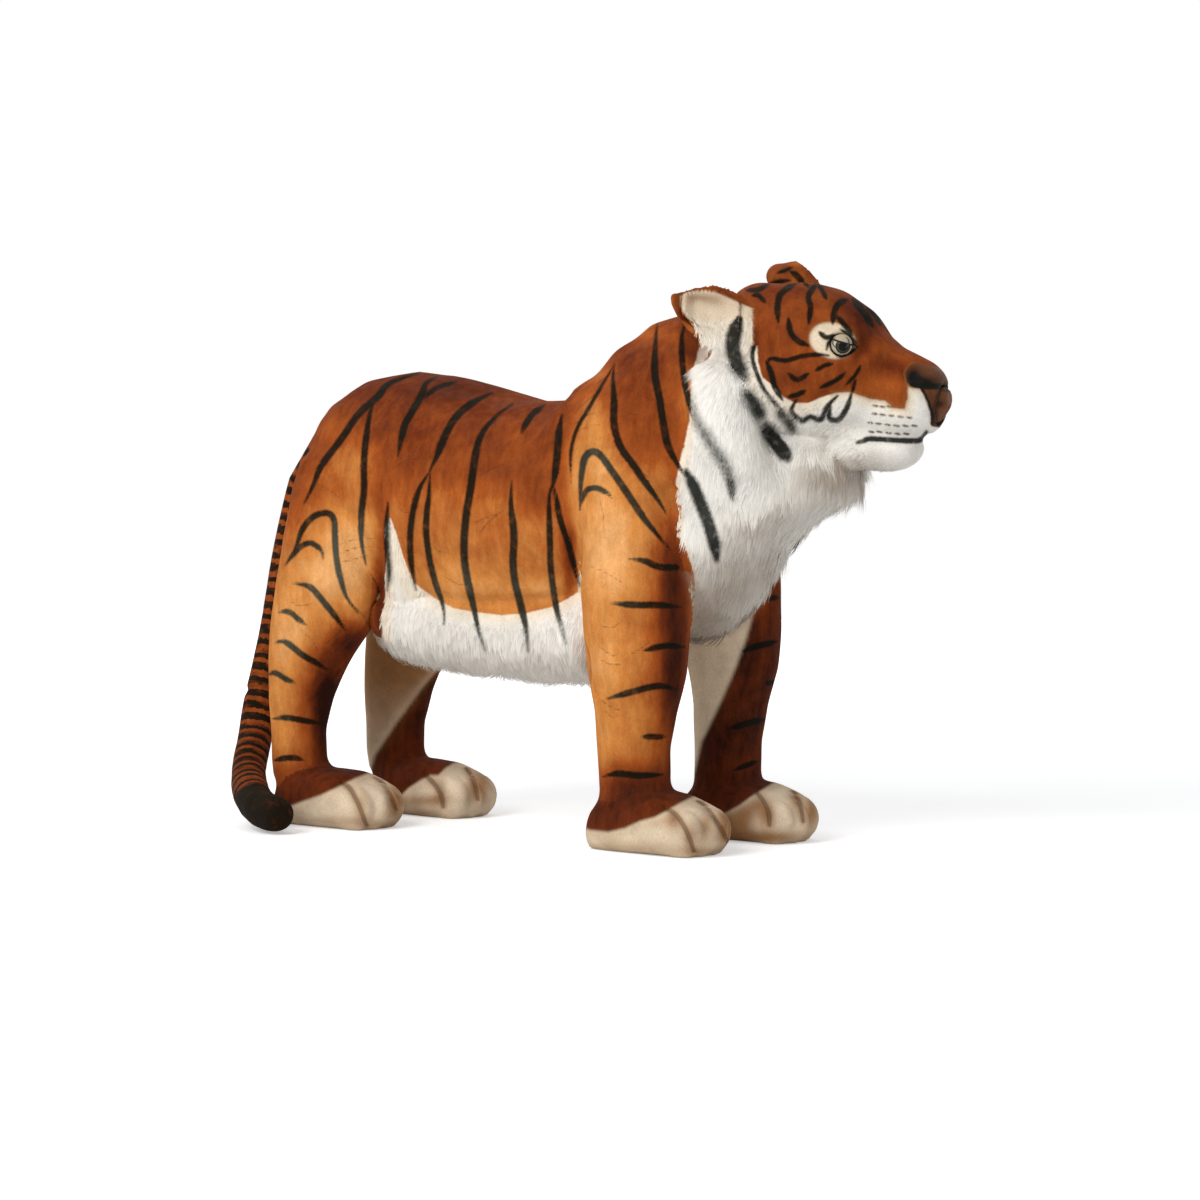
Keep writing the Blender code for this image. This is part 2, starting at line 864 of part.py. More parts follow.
def build_frame(body):
    """The steel frame: two cross tubes, a spine, a neck bar and a rod and plate in each leg."""
    channels = {}
    front_x = station(front_leg_share)
    hind_x = station(hind_leg_share)
    half_span = leg_track / 2 + frame_tube_overhang
    for end, place in (("front", front_x), ("rear", hind_x)):
        start = Vector((place, -half_span, frame_height))
        stop = Vector((place, half_span, frame_height))
        channels[end + "_cross_tube"] = add_tube(end + "_cross_tube", start, stop, body)
    reach = frame_tube_radius + seam_gap
    spine_start = Vector((hind_x + reach, 0, frame_height))
    spine_end = Vector((front_x - reach, 0, frame_height))
    channels["spine_bar"] = add_tube("spine_bar", spine_start, spine_end, body)
    neck_run = Vector((math.cos(neck_bar_tilt), 0, math.sin(neck_bar_tilt)))
    neck_start = Vector((front_x, 0, frame_height)) + neck_run * (frame_tube_radius + seam_gap)
    channels["neck_bar"] = add_tube("neck_bar", neck_start, neck_start + neck_run * neck_bar_length, body)
    plate_top = foot_plate_height + foot_plate_thickness / 2 + seam_gap
    for side_name, side in (("left", 1), ("right", -1)):
        for end, place, ankle in (("front", front_x, front_x), ("hind", hind_x, hind_x - hind_leg_setback)):
            name = f"{end}_leg_rod_{side_name}"
            low = Vector((ankle, side * leg_track / 2, 0))
            high = Vector((place, side * leg_track / 2, frame_height))
            run = (high - low).normalized()
            start = low + run * ((plate_top + frame_tube_radius * abs(run.x)) / run.z)
            stop = high - run * (frame_tube_radius + seam_gap + frame_tube_radius * abs(run.x) / run.z)
            channels[name] = add_tube(name, start, stop, body)
            plate_name = f"{end}_foot_plate_{side_name}"
            plate_centre = low + run * (foot_plate_height / run.z)
            channels[plate_name] = add_plate(plate_name, plate_centre, body)
    return channels


def build_legs(body, floor, torso_cutter, neck_cutter, channels):
    cutters = {}
    for side_name, side in (("left", 1), ("right", -1)):
        for end in ("front", "hind"):
            if end == "front":
                build = leg_loops(
                    side, front_leg_share, front_leg_top, front_leg_length, front_leg_width,
                    front_leg_length, front_leg_shares,
                )
                paw_x = station(front_leg_share) + front_paw_reach
            else:
                build = leg_loops(
                    side, hind_leg_share, hind_leg_top, hind_leg_length, hind_leg_width,
                    hind_leg_setback, hind_leg_shares,
                )
                paw_x = station(hind_leg_share) - hind_leg_setback + hind_paw_reach
            name = f"{end}_leg_{side_name}"
            leg, leg_cutter = add_soft(name, build, orange_plush, body)
            combine(leg, "DIFFERENCE", [torso_cutter])
            if end == "front":
                combine(leg, "DIFFERENCE", [neck_cutter])
            rod = channels[f"{end}_leg_rod_{side_name}"]
            plate = channels[f"{end}_foot_plate_{side_name}"]
            cross = channels[("front" if end == "front" else "rear") + "_cross_tube"]
            combine(leg, "DIFFERENCE", [rod, cross])
            centre = Vector((paw_x, side * leg_track / 2, 0))
            paw = add_paw(f"{end}_paw_{side_name}", centre, body, floor, leg_cutter)
            combine(paw, "DIFFERENCE", [rod, plate])
            cutters[name] = leg_cutter
    return cutters


def build_head(body, neck_cutter, neck_channel):
    head_frame = add_empty("head_frame", neck_end(), body)
    head_frame.rotation_euler = (0, 0, head_turn)
    head, head_cutter = add_soft("head", head_loops, orange_plush, head_frame)
    combine(head, "DIFFERENCE", [neck_cutter, neck_channel])
    muzzle, muzzle_cutter = add_soft("muzzle", muzzle_loops, orange_plush, head_frame)
    nose, nose_cutter = add_soft("nose", nose_loops, brown_leather, head_frame)
    chin, chin_cutter = add_soft("chin", chin_loops, white_pile, head_frame)
    combine(muzzle, "DIFFERENCE", [head_cutter, nose_cutter])
    combine(chin, "DIFFERENCE", [head_cutter, muzzle_cutter])
    for name, side in (("eye_left", 1), ("eye_right", -1)):
        eye, eye_cutter = add_eye(name, side, head_frame)
        combine(head, "DIFFERENCE", [eye_cutter])
    hinges = []
    for name, side, pose in (("ear_left", 1, left_ear_shares), ("ear_right", -1, right_ear_shares)):
        hinge, groove = add_ear(name, side, pose, head_frame)
        combine(head, "DIFFERENCE", [groove])
        hinges.append(hinge)
    tufts = []
    for name, side in (("cheek_tuft_left", 1), ("cheek_tuft_right", -1)):
        tuft, tuft_cutter = add_soft(name, cheek_tuft_loops(side), white_pile, head_frame)
        combine(tuft, "DIFFERENCE", [head_cutter, neck_cutter])
        tufts.append(tuft_cutter)
    return [head_cutter, muzzle_cutter, chin_cutter, *tufts], hinges


def build_tail(body, torso):
    root_place = route_point(0)
    curl_place = route_point(tail_curl_knot)
    root_hinge = add_empty("tail_hinge", root_place, body)
    curl_hinge = add_empty("tail_curl_hinge", curl_place - root_place, root_hinge)
    tail, tail_cutter = add_soft("tail", tail_loops, orange_plush, root_hinge, root_place)
    add_form("tail_end", tail_end_loops, orange_plush, curl_hinge, origin=curl_place)
    add_form("tail_tip", tail_tip_loops, black_plush, curl_hinge, origin=curl_place)
    socket = add_ball("tail_socket", tail_radius + joint_gap, root_hinge)
    combine(torso, "DIFFERENCE", [socket, tail_cutter])
    cup = add_ball("tail_cup", tail_radius + joint_gap, curl_hinge)
    combine(tail, "DIFFERENCE", [cup])
    return root_hinge, curl_hinge


def world_box():
    bpy.context.view_layer.update()
    graph = bpy.context.evaluated_depsgraph_get()
    low = Vector((math.inf, math.inf, math.inf))
    high = -low
    for item in bpy.context.scene.objects:
        if item.type != "MESH" or item.hide_render:
            continue
        mesh = item.evaluated_get(graph).data
        for vert in mesh.vertices:
            place = item.matrix_world @ vert.co
            low = Vector(map(min, low, place))
            high = Vector(map(max, high, place))
    return low, high


def build_tiger():
    clear_scene()
    body = add_empty("tiger", Vector((0, 0, 0)))
    floor = add_floor(body)
    channels = build_frame(body)
    torso, torso_cutter = add_soft("torso", torso_loops, orange_plush, body)
    inner_channels = [channel for name, channel in channels.items() if "plate" not in name]
    combine(torso, "DIFFERENCE", inner_channels)
    neck, neck_cutter = add_soft("neck", neck_loops, orange_plush, body)
    combine(neck, "DIFFERENCE", [torso_cutter, channels["neck_bar"]])
    legs = build_legs(body, floor, torso_cutter, neck_cutter, channels)
    head_cutters, ear_hinges = build_head(body, neck_cutter, channels["neck_bar"])
    ruff = add_form("chest_ruff", ruff_loops, white_pile, body)
    larger = [torso_cutter, neck_cutter, *head_cutters]
    front_legs = [legs["front_leg_left"], legs["front_leg_right"]]
    combine(ruff, "DIFFERENCE", [*larger, *front_legs, channels["front_cross_tube"]])
    belly = add_form("belly_fur", belly_loops, white_pile, body)
    combine(belly, "DIFFERENCE", [torso_cutter, *legs.values()])
    tail_hinges = build_tail(body, torso)
    low, high = world_box()
    body.location = Vector((-(low.x + high.x) / 2, -(low.y + high.y) / 2, -low.z))
    bpy.context.view_layer.update()
    print("size", [round(value, 4) for value in high - low], "moved", [round(v, 4) for v in body.location])
    for hinge in (*tail_hinges, *ear_hinges):
        place = hinge.matrix_world.translation
        axis = hinge.matrix_world.to_3x3() @ forward
        print(hinge.name, [round(v, 5) for v in place], "along X", [round(v, 5) for v in axis])


build_tiger()
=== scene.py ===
# Standing plush tiger: sewn covers, airbrushed stripes, long pile, face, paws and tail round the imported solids.
import json
import math

import bmesh
import bpy
import numpy as np
from mathutils import Matrix, Vector, kdtree, noise
from mathutils.bvhtree import BVHTree


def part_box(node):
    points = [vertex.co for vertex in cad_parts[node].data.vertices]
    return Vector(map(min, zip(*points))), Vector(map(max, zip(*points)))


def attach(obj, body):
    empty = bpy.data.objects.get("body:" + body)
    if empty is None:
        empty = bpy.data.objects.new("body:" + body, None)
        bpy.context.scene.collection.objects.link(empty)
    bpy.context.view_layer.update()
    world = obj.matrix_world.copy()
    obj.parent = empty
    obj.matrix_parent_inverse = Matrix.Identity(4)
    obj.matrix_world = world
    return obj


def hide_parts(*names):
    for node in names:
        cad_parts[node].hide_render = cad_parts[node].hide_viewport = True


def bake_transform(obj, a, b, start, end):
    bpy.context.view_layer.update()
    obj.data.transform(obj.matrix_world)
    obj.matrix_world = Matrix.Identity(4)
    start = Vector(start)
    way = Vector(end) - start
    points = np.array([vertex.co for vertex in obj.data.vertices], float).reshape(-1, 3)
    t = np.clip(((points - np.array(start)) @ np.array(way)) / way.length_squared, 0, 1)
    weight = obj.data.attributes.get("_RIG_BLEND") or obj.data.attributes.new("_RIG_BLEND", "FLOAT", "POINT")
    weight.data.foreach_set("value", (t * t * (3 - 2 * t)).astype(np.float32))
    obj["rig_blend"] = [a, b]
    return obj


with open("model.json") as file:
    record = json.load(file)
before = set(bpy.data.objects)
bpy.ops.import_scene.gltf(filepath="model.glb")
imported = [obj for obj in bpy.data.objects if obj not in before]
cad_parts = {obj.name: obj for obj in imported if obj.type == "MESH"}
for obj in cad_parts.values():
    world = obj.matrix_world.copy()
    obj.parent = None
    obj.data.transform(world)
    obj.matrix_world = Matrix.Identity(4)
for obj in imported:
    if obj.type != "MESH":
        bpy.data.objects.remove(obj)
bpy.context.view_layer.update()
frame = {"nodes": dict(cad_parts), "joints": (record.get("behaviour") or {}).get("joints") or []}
nodes = frame["nodes"]
plainBody = "plush_body"
print("frame loaded", len(nodes), "solids")

# The photograph's camera, in pixels of its 1200 by 1200 frame
photo = {
    "wide": 1200,
    "focal": 3040.0,
    "middleX": 609.0,
    "horizonY": 518.0,
    "eye": (2.347, -2.976, 0.40),
    "heading": 37.30,
    "metresPerPixel": 1 / 815,
}

# Where the tiger's body and head are halved, in the frame's metres
halves = {
    "bodyY": 0.0452,
    "headPivot": (0.2441, 0.0452, 0.5599),
    "headTurn": 13.0,
}

heading = math.radians(photo["heading"])
eyePoint = np.array(photo["eye"])
aheadWay = np.array((-math.sin(heading), math.cos(heading), 0.0))
rightWay = np.array((math.cos(heading), math.sin(heading), 0.0))


def toPhoto(points):
    offset = points - eyePoint
    deep = offset @ aheadWay
    across = photo["middleX"] + photo["focal"] * (offset @ rightWay) / deep
    down = photo["horizonY"] - photo["focal"] * offset[:, 2] / deep
    return np.stack([across, down], 1)


# Stage
stage = {
    "floorSize": 14.0,
    "floorColour": (0.93, 0.93, 0.925),
    "floorLift": (0.34, 0.95),   # how far the paper is lifted to white under the tiger and far from it
    "floorNear": 1.1,
    "floorFar": 3.2,
    "worldColour": (0.95, 0.97, 1.0),
    "worldStrength": 0.46,
    "lamps": (
        # name, across to the right of the camera's view, towards the camera, height, size, watts
        ("keyLamp", -1.5, 1.9, 1.9, 1.6, 60),
        ("fillLamp", 1.9, 1.6, 1.2, 1.8, 8),
        ("topLamp", -0.4, -0.7, 2.4, 1.8, 12),
    ),
}


def link(item):
    bpy.context.scene.collection.objects.link(item)
    return item


def makeCamera():
    data = bpy.data.cameras.new("photoCamera")
    data.sensor_width = 36
    data.lens = photo["focal"] / photo["wide"] * data.sensor_width
    camera = link(bpy.data.objects.new("photoCamera", data))
    camera.location = photo["eye"]
    half = photo["wide"] / 2
    pitch = math.atan((half - photo["horizonY"]) / photo["focal"])
    yaw = heading + math.atan((photo["middleX"] - half) / photo["focal"])
    camera.rotation_euler = (math.radians(90) - pitch, 0, yaw)
    bpy.context.scene.camera = camera


def newMaterial(name):
    material = bpy.data.materials.new(name)
    material.use_nodes = True
    return material, material.node_tree, material.node_tree.nodes["Principled BSDF"]


def addNode(tree, kind, **settings):
    node = tree.nodes.new(kind)
    for key, value in settings.items():
        if key.startswith("in_"):
            node.inputs[key[3:].replace("_", " ")].default_value = value
        else:
            setattr(node, key, value)
    return node


def makeStage():
    bm = bmesh.new()
    bmesh.ops.create_grid(bm, x_segments=8, y_segments=8, size=stage["floorSize"] / 2)
    floorMesh = bpy.data.meshes.new("studioFloor")
    bm.to_mesh(floorMesh)
    bm.free()
    floor = link(bpy.data.objects.new("studioFloor", floorMesh))
    material, tree, shader = newMaterial("studioFloorPaper")
    shader.inputs["Base Color"].default_value = (*stage["floorColour"], 1)
    shader.inputs["Roughness"].default_value = 0.9
    shader.inputs["Specular IOR Level"].default_value = 0.1
    path = addNode(tree, "ShaderNodeLightPath")
    reach = addNode(tree, "ShaderNodeVectorMath", operation="LENGTH")
    tree.links.new(addNode(tree, "ShaderNodeTexCoord").outputs["Object"], reach.inputs[0])
    lift = addNode(tree, "ShaderNodeMapRange", interpolation_type="SMOOTHSTEP")
    settings = (stage["floorNear"], stage["floorFar"], *stage["floorLift"])
    for label, value in zip(("From Min", "From Max", "To Min", "To Max"), settings):
        lift.inputs[label].default_value = value
    tree.links.new(reach.outputs["Value"], lift.inputs["Value"])
    glow = addNode(tree, "ShaderNodeMath", operation="MULTIPLY")
    tree.links.new(lift.outputs["Result"], glow.inputs[1])
    tree.links.new(path.outputs["Is Camera Ray"], glow.inputs[0])
    shader.inputs["Emission Color"].default_value = (1, 1, 1, 1)
    tree.links.new(glow.outputs[0], shader.inputs["Emission Strength"])
    floorMesh.materials.append(material)
    world = bpy.data.worlds.new("studioWorld")
    world.use_nodes = True
    bpy.context.scene.world = world
    tree = world.node_tree
    surround = tree.nodes["Background"]
    surround.inputs["Color"].default_value = (*stage["worldColour"], 1)
    surround.inputs["Strength"].default_value = stage["worldStrength"]
    backdrop = addNode(tree, "ShaderNodeBackground", in_Color=(1, 1, 1, 1), in_Strength=1.0)
    path = addNode(tree, "ShaderNodeLightPath")
    seen = addNode(tree, "ShaderNodeMath", operation="ADD", use_clamp=True)
    seenToo = addNode(tree, "ShaderNodeMath", operation="ADD", use_clamp=True)
    tree.links.new(path.outputs["Is Camera Ray"], seen.inputs[0])
    tree.links.new(path.outputs["Is Glossy Ray"], seen.inputs[1])
    tree.links.new(seen.outputs[0], seenToo.inputs[0])
    tree.links.new(path.outputs["Is Transmission Ray"], seenToo.inputs[1])
    mix = addNode(tree, "ShaderNodeMixShader")
    tree.links.new(seenToo.outputs[0], mix.inputs["Fac"])
    tree.links.new(surround.outputs[0], mix.inputs[1])
    tree.links.new(backdrop.outputs[0], mix.inputs[2])
    tree.links.new(mix.outputs[0], tree.nodes["World Output"].inputs["Surface"])
    for name, across, near, height, size, watts in stage["lamps"]:
        data = bpy.data.lights.new(name, "AREA")
        data.size = size
        data.energy = watts
        lamp = link(bpy.data.objects.new(name, data))
        place = across * rightWay - near * aheadWay
        lamp.location = (place[0], place[1], height)
        aim = Vector((0, 0, 0.35)) - lamp.location
        lamp.rotation_euler = aim.to_track_quat("-Z", "Y").to_euler()
    bpy.context.scene.view_settings.view_transform = "Standard"


makeCamera()
makeStage()
print("stage and camera made")


# Shader groups that several finishes share
def newGroup(name, takes, gives):
    tree = bpy.data.node_groups.new(name, "ShaderNodeTree")
    for label, kind, value in takes:
        socket = tree.interface.new_socket(name=label, in_out="INPUT", socket_type=kind)
        if value is not None:
            socket.default_value = value
    for label, kind in gives:
        tree.interface.new_socket(name=label, in_out="OUTPUT", socket_type=kind)
    return tree, tree.nodes.new("NodeGroupInput"), tree.nodes.new("NodeGroupOutput")


def wire(tree, *pairs):
    for source, target in pairs:
        tree.links.new(source, target)


def mixColour(tree, factor, first, second, blend="MIX"):
    node = addNode(tree, "ShaderNodeMix", data_type="RGBA", blend_type=blend)
    for socket, value in ((node.inputs[0], factor), (node.inputs[6], first), (node.inputs[7], second)):
        if isinstance(value, bpy.types.NodeSocket):
            tree.links.new(value, socket)
        elif isinstance(value, (int, float)):
            socket.default_value = value
        else:
            socket.default_value = (*value, 1)
    return node.outputs[2]


def mathNode(tree, operation, first, second=0.0, clamp=False):
    node = addNode(tree, "ShaderNodeMath", operation=operation, use_clamp=clamp)
    for socket, value in zip(node.inputs, (first, second)):
        if isinstance(value, bpy.types.NodeSocket):
            tree.links.new(value, socket)
        else:
            socket.default_value = value
    return node.outputs[0]


def rampBetween(tree, value, low, high, toLow=0.0, toHigh=1.0):
    node = addNode(tree, "ShaderNodeMapRange", interpolation_type="SMOOTHSTEP", clamp=True)
    node.inputs["From Min"].default_value = low
    node.inputs["From Max"].default_value = high
    node.inputs["To Min"].default_value = toLow
    node.inputs["To Max"].default_value = toHigh
    tree.links.new(value, node.inputs["Value"])
    return node.outputs["Result"]


def noiseAt(tree, place, scale, detail=2.0, roughness=0.5):
    node = addNode(tree, "ShaderNodeTexNoise", in_Scale=scale, in_Detail=detail, in_Roughness=roughness)
    tree.links.new(place, node.inputs["Vector"])
    return node.outputs["Fac"]


def colourRamp(tree, value, stops):
    node = addNode(tree, "ShaderNodeValToRGB")
    marks = node.color_ramp.elements
    for mark, (at, colour) in ((marks[0], stops[0]), (marks[1], stops[-1])):
        mark.position = at
        mark.color = (*colour, 1)
    for at, colour in stops[1:-1]:
        marks.new(at).color = (*colour, 1)
    tree.links.new(value, node.inputs[0])
    return node.outputs["Color"]


# The airbrushed coat with painted light and shade: stripes, pale zones, toned orange, painted shadow on the fur
# and shaded creases, from the numbers painted on each mesh
coat = {
    "orange": (
        # how light the airbrush and the painted light and shade left it, and its colour there
        (0.0, (0.028, 0.006, 0.003)), (0.22, (0.140, 0.025, 0.005)), (0.46, (0.330, 0.074, 0.012)),
        (0.72, (0.560, 0.214, 0.048)), (1.0, (0.800, 0.420, 0.165)),
    ),
    "stripeDark": (0.004, 0.005, 0.0025),
    "stripeGrey": (0.050, 0.060, 0.044),
    "furWhite": (0.80, 0.765, 0.70),
    "borderCream": (0.79, 0.68, 0.53),
    "cream": (0.74, 0.60, 0.43),
    # painted shadow: the greyish brown that stands in for shade on the white fur
    "smoke": (0.27, 0.205, 0.150),
    "shadeBrown": (0.27, 0.115, 0.034),
    "leather": (0.150, 0.050, 0.018),
    "leatherDark": (0.007, 0.005, 0.004),
    # painted shade in the fabric's folds, and the paws' stitched creases
    "creaseShadeAndStitch": (0.085, 0.028, 0.009),
    "pileScale": 900.0,
    "pileDepth": 0.0012,
    "sheen": 0.01,
}


def makeCoatGroup():
    takes = [(label, "NodeSocketFloat", value) for label, value in (
        ("Stripe", 1.0), ("Pale", -1.0), ("Cream", 0.0), ("Tone", 0.5), ("Shade", 0.0), ("Smoke", 0.0),
        ("Crease", 1.0), ("Leather", 1.0), ("Fray", 0.002), ("Blur", 0.002),
    )]
    gives = [("Color", "NodeSocketColor"), ("Groove", "NodeSocketFloat"), ("Hide", "NodeSocketFloat")]
    tree, start, end = newGroup("airbrushedCoatAndShade", takes, gives)
    place = addNode(tree, "ShaderNodeTexCoord").outputs["Object"]
    ragged = mathNode(tree, "SUBTRACT", noiseAt(tree, place, 260, 3.0, 0.6), 0.5)
    fray = mathNode(tree, "MULTIPLY", ragged, start.outputs["Fray"])
    # The nap was brushed in patches and short strokes, so the sprayed colour took unevenly
    patchy = mathNode(tree, "SUBTRACT", noiseAt(tree, place, 13, 4.0, 0.6), 0.5)
    broad = mathNode(tree, "MULTIPLY", patchy, 0.42)
    strokes = addNode(tree, "ShaderNodeMapping", in_Scale=(1.0, 1.0, 0.30))
    wire(tree, (place, strokes.inputs["Vector"]))
    short = mathNode(tree, "SUBTRACT", noiseAt(tree, strokes.outputs[0], 85, 4.0, 0.65), 0.5)
    uneven = mathNode(tree, "ADD", broad, mathNode(tree, "MULTIPLY", short, 0.34))
    tone = mathNode(tree, "ADD", start.outputs["Tone"], uneven, clamp=True)
    orange = colourRamp(tree, tone, coat["orange"])
    shaded = mixColour(tree, start.outputs["Cream"], orange, coat["cream"])
    paleEdge = mathNode(tree, "ADD", start.outputs["Pale"], fray)
    fur = mixColour(tree, rampBetween(tree, paleEdge, 0.001, 0.020), coat["borderCream"], coat["furWhite"])
    white = mixColour(tree, rampBetween(tree, paleEdge, -0.0012, 0.0018), shaded, fur)
    # Painted shadow greys the white fur where it lies in shade
    shadowed = mixColour(tree, start.outputs["Smoke"], white, coat["smoke"])
    # Brown from the Shade number: airbrushed brown, and painted shade on the legs' inner sides, in the paws'
    # creases and under the ear's rim
    brown = mixColour(tree, start.outputs["Shade"], shadowed, coat["shadeBrown"])
    hide = mixColour(tree, start.outputs["Shade"], coat["leather"], coat["leatherDark"])
    leatherEdge = mathNode(tree, "ADD", start.outputs["Leather"], fray)
    inLeather = rampBetween(tree, leatherEdge, -0.0008, 0.0012, 1.0, 0.0)
    faced = mixColour(tree, inLeather, brown, hide)
    # Painted shade darkens the fabric's folds along each crease line, which also marks the paws' stitched creases
    groove = rampBetween(tree, start.outputs["Crease"], 0.0002, 0.0026, 1.0, 0.0)
    creased = mixColour(tree, mathNode(tree, "MULTIPLY", groove, 0.55), faced, coat["creaseShadeAndStitch"])
    frayed = mathNode(tree, "ADD", start.outputs["Stripe"], fray)
    stripeEdge = mathNode(tree, "DIVIDE", frayed, start.outputs["Blur"])
    inStripe = rampBetween(tree, stripeEdge, -0.7, 0.8, 1.0, 0.0)
    taken = rampBetween(tree, noiseAt(tree, place, 90, 2.0), 0.18, 0.5, 0.80, 0.97)
    thin = mathNode(tree, "MULTIPLY", inStripe, taken)
    paint = mixColour(tree, rampBetween(tree, tone, 0.50, 1.0), coat["stripeDark"], coat["stripeGrey"])
    wire(tree, (mixColour(tree, thin, creased, paint), end.inputs["Color"]), (groove, end.inputs["Groove"]),
         (inLeather, end.inputs["Hide"]))
    return tree


def makePileGroup():
    # Short fibres lying in brushed patches, as a height and a light and dark value
    takes = [("Scale", "NodeSocketFloat", 900.0), ("Patch Scale", "NodeSocketFloat", 30.0)]
    gives = [("Height", "NodeSocketFloat"), ("Value", "NodeSocketFloat"), ("Rough", "NodeSocketFloat")]
    tree, start, end = newGroup("shortPile", takes, gives)
    place = addNode(tree, "ShaderNodeTexCoord").outputs["Object"]
    stretch = addNode(tree, "ShaderNodeMapping", in_Scale=(1.0, 1.0, 0.45))
    wire(tree, (place, stretch.inputs["Vector"]))
    fibre = addNode(tree, "ShaderNodeTexNoise", in_Detail=3.0, in_Roughness=0.7)
    wire(tree, (stretch.outputs[0], fibre.inputs["Vector"]), (start.outputs["Scale"], fibre.inputs["Scale"]))
    patch = addNode(tree, "ShaderNodeTexNoise", in_Detail=4.0, in_Roughness=0.6, in_Distortion=0.6)
    wire(tree, (place, patch.inputs["Vector"]), (start.outputs["Patch Scale"], patch.inputs["Scale"]))
    value = mathNode(tree, "ADD", mathNode(tree, "MULTIPLY", fibre.outputs["Fac"], 0.55),
                     mathNode(tree, "MULTIPLY", patch.outputs["Fac"], 0.45))
    wire(tree, (fibre.outputs["Fac"], end.inputs["Height"]))
    wire(tree, (rampBetween(tree, value, 0.3, 0.7, 0.78, 1.18), end.inputs["Value"]))
    wire(tree, (rampBetween(tree, patch.outputs["Fac"], 0.3, 0.7, 0.72, 0.98), end.inputs["Rough"]))
    return tree


coatGroup = makeCoatGroup()
pileGroup = makePileGroup()


def useGroup(tree, group, **values):
    node = tree.nodes.new("ShaderNodeGroup")
    node.node_tree = group
    for key, value in values.items():
        node.inputs[key.replace("_", " ")].default_value = value
    return node


def readNumber(tree, name):
    return addNode(tree, "ShaderNodeAttribute", attribute_name=name).outputs["Fac"]


def makePlush(name, fray, blur, strand=False):
    material, tree, shader = newMaterial(name)
    painted = useGroup(tree, coatGroup, Fray=fray, Blur=blur)
    for label in ("Stripe", "Pale", "Cream", "Tone", "Shade", "Smoke", "Crease", "Leather"):
        wire(tree, (readNumber(tree, label.lower()), painted.inputs[label]))
    if strand:
        # Painted shade darkens the strands towards their roots, and they differ a little from one to the next
        rootShade = rampBetween(tree, readNumber(tree, "along"), 0.0, 0.8, 0.70, 1.0)
        value = mathNode(tree, "MULTIPLY", rootShade, readNumber(tree, "tint"))
    else:
        pile = useGroup(tree, pileGroup, Scale=coat["pileScale"])
        value = pile.outputs["Value"]
        bump = addNode(tree, "ShaderNodeBump", in_Strength=0.6, in_Distance=coat["pileDepth"])
        sunk = mathNode(tree, "MULTIPLY", painted.outputs["Groove"], 1.6)
        height = mathNode(tree, "SUBTRACT", pile.outputs["Height"], sunk)
        smooth = mathNode(tree, "MULTIPLY", painted.outputs["Hide"], 0.5)
        wire(tree, (height, bump.inputs["Height"]), (bump.outputs[0], shader.inputs["Normal"]),
             (mathNode(tree, "SUBTRACT", pile.outputs["Rough"], smooth), shader.inputs["Roughness"]))
    colour = mixColour(tree, 1.0, painted.outputs["Color"], value, "MULTIPLY")
    wire(tree, (colour, shader.inputs["Base Color"]))
    shader.inputs["Specular IOR Level"].default_value = 0.06
    shader.inputs["Sheen Weight"].default_value = coat["sheen"]
    shader.inputs["Sheen Roughness"].default_value = 0.45
    shader.inputs["Sheen Tint"].default_value = (1.0, 0.80, 0.60, 1)
    return material


shortPlush = makePlush("shortPlush", 0.0020, 0.0022)
longPile = makePlush("longPile", 0.0045, 0.0046, strand=True)
facePile = makePlush("facePile", 0.0025, 0.0030, strand=True)
print("finishes made")
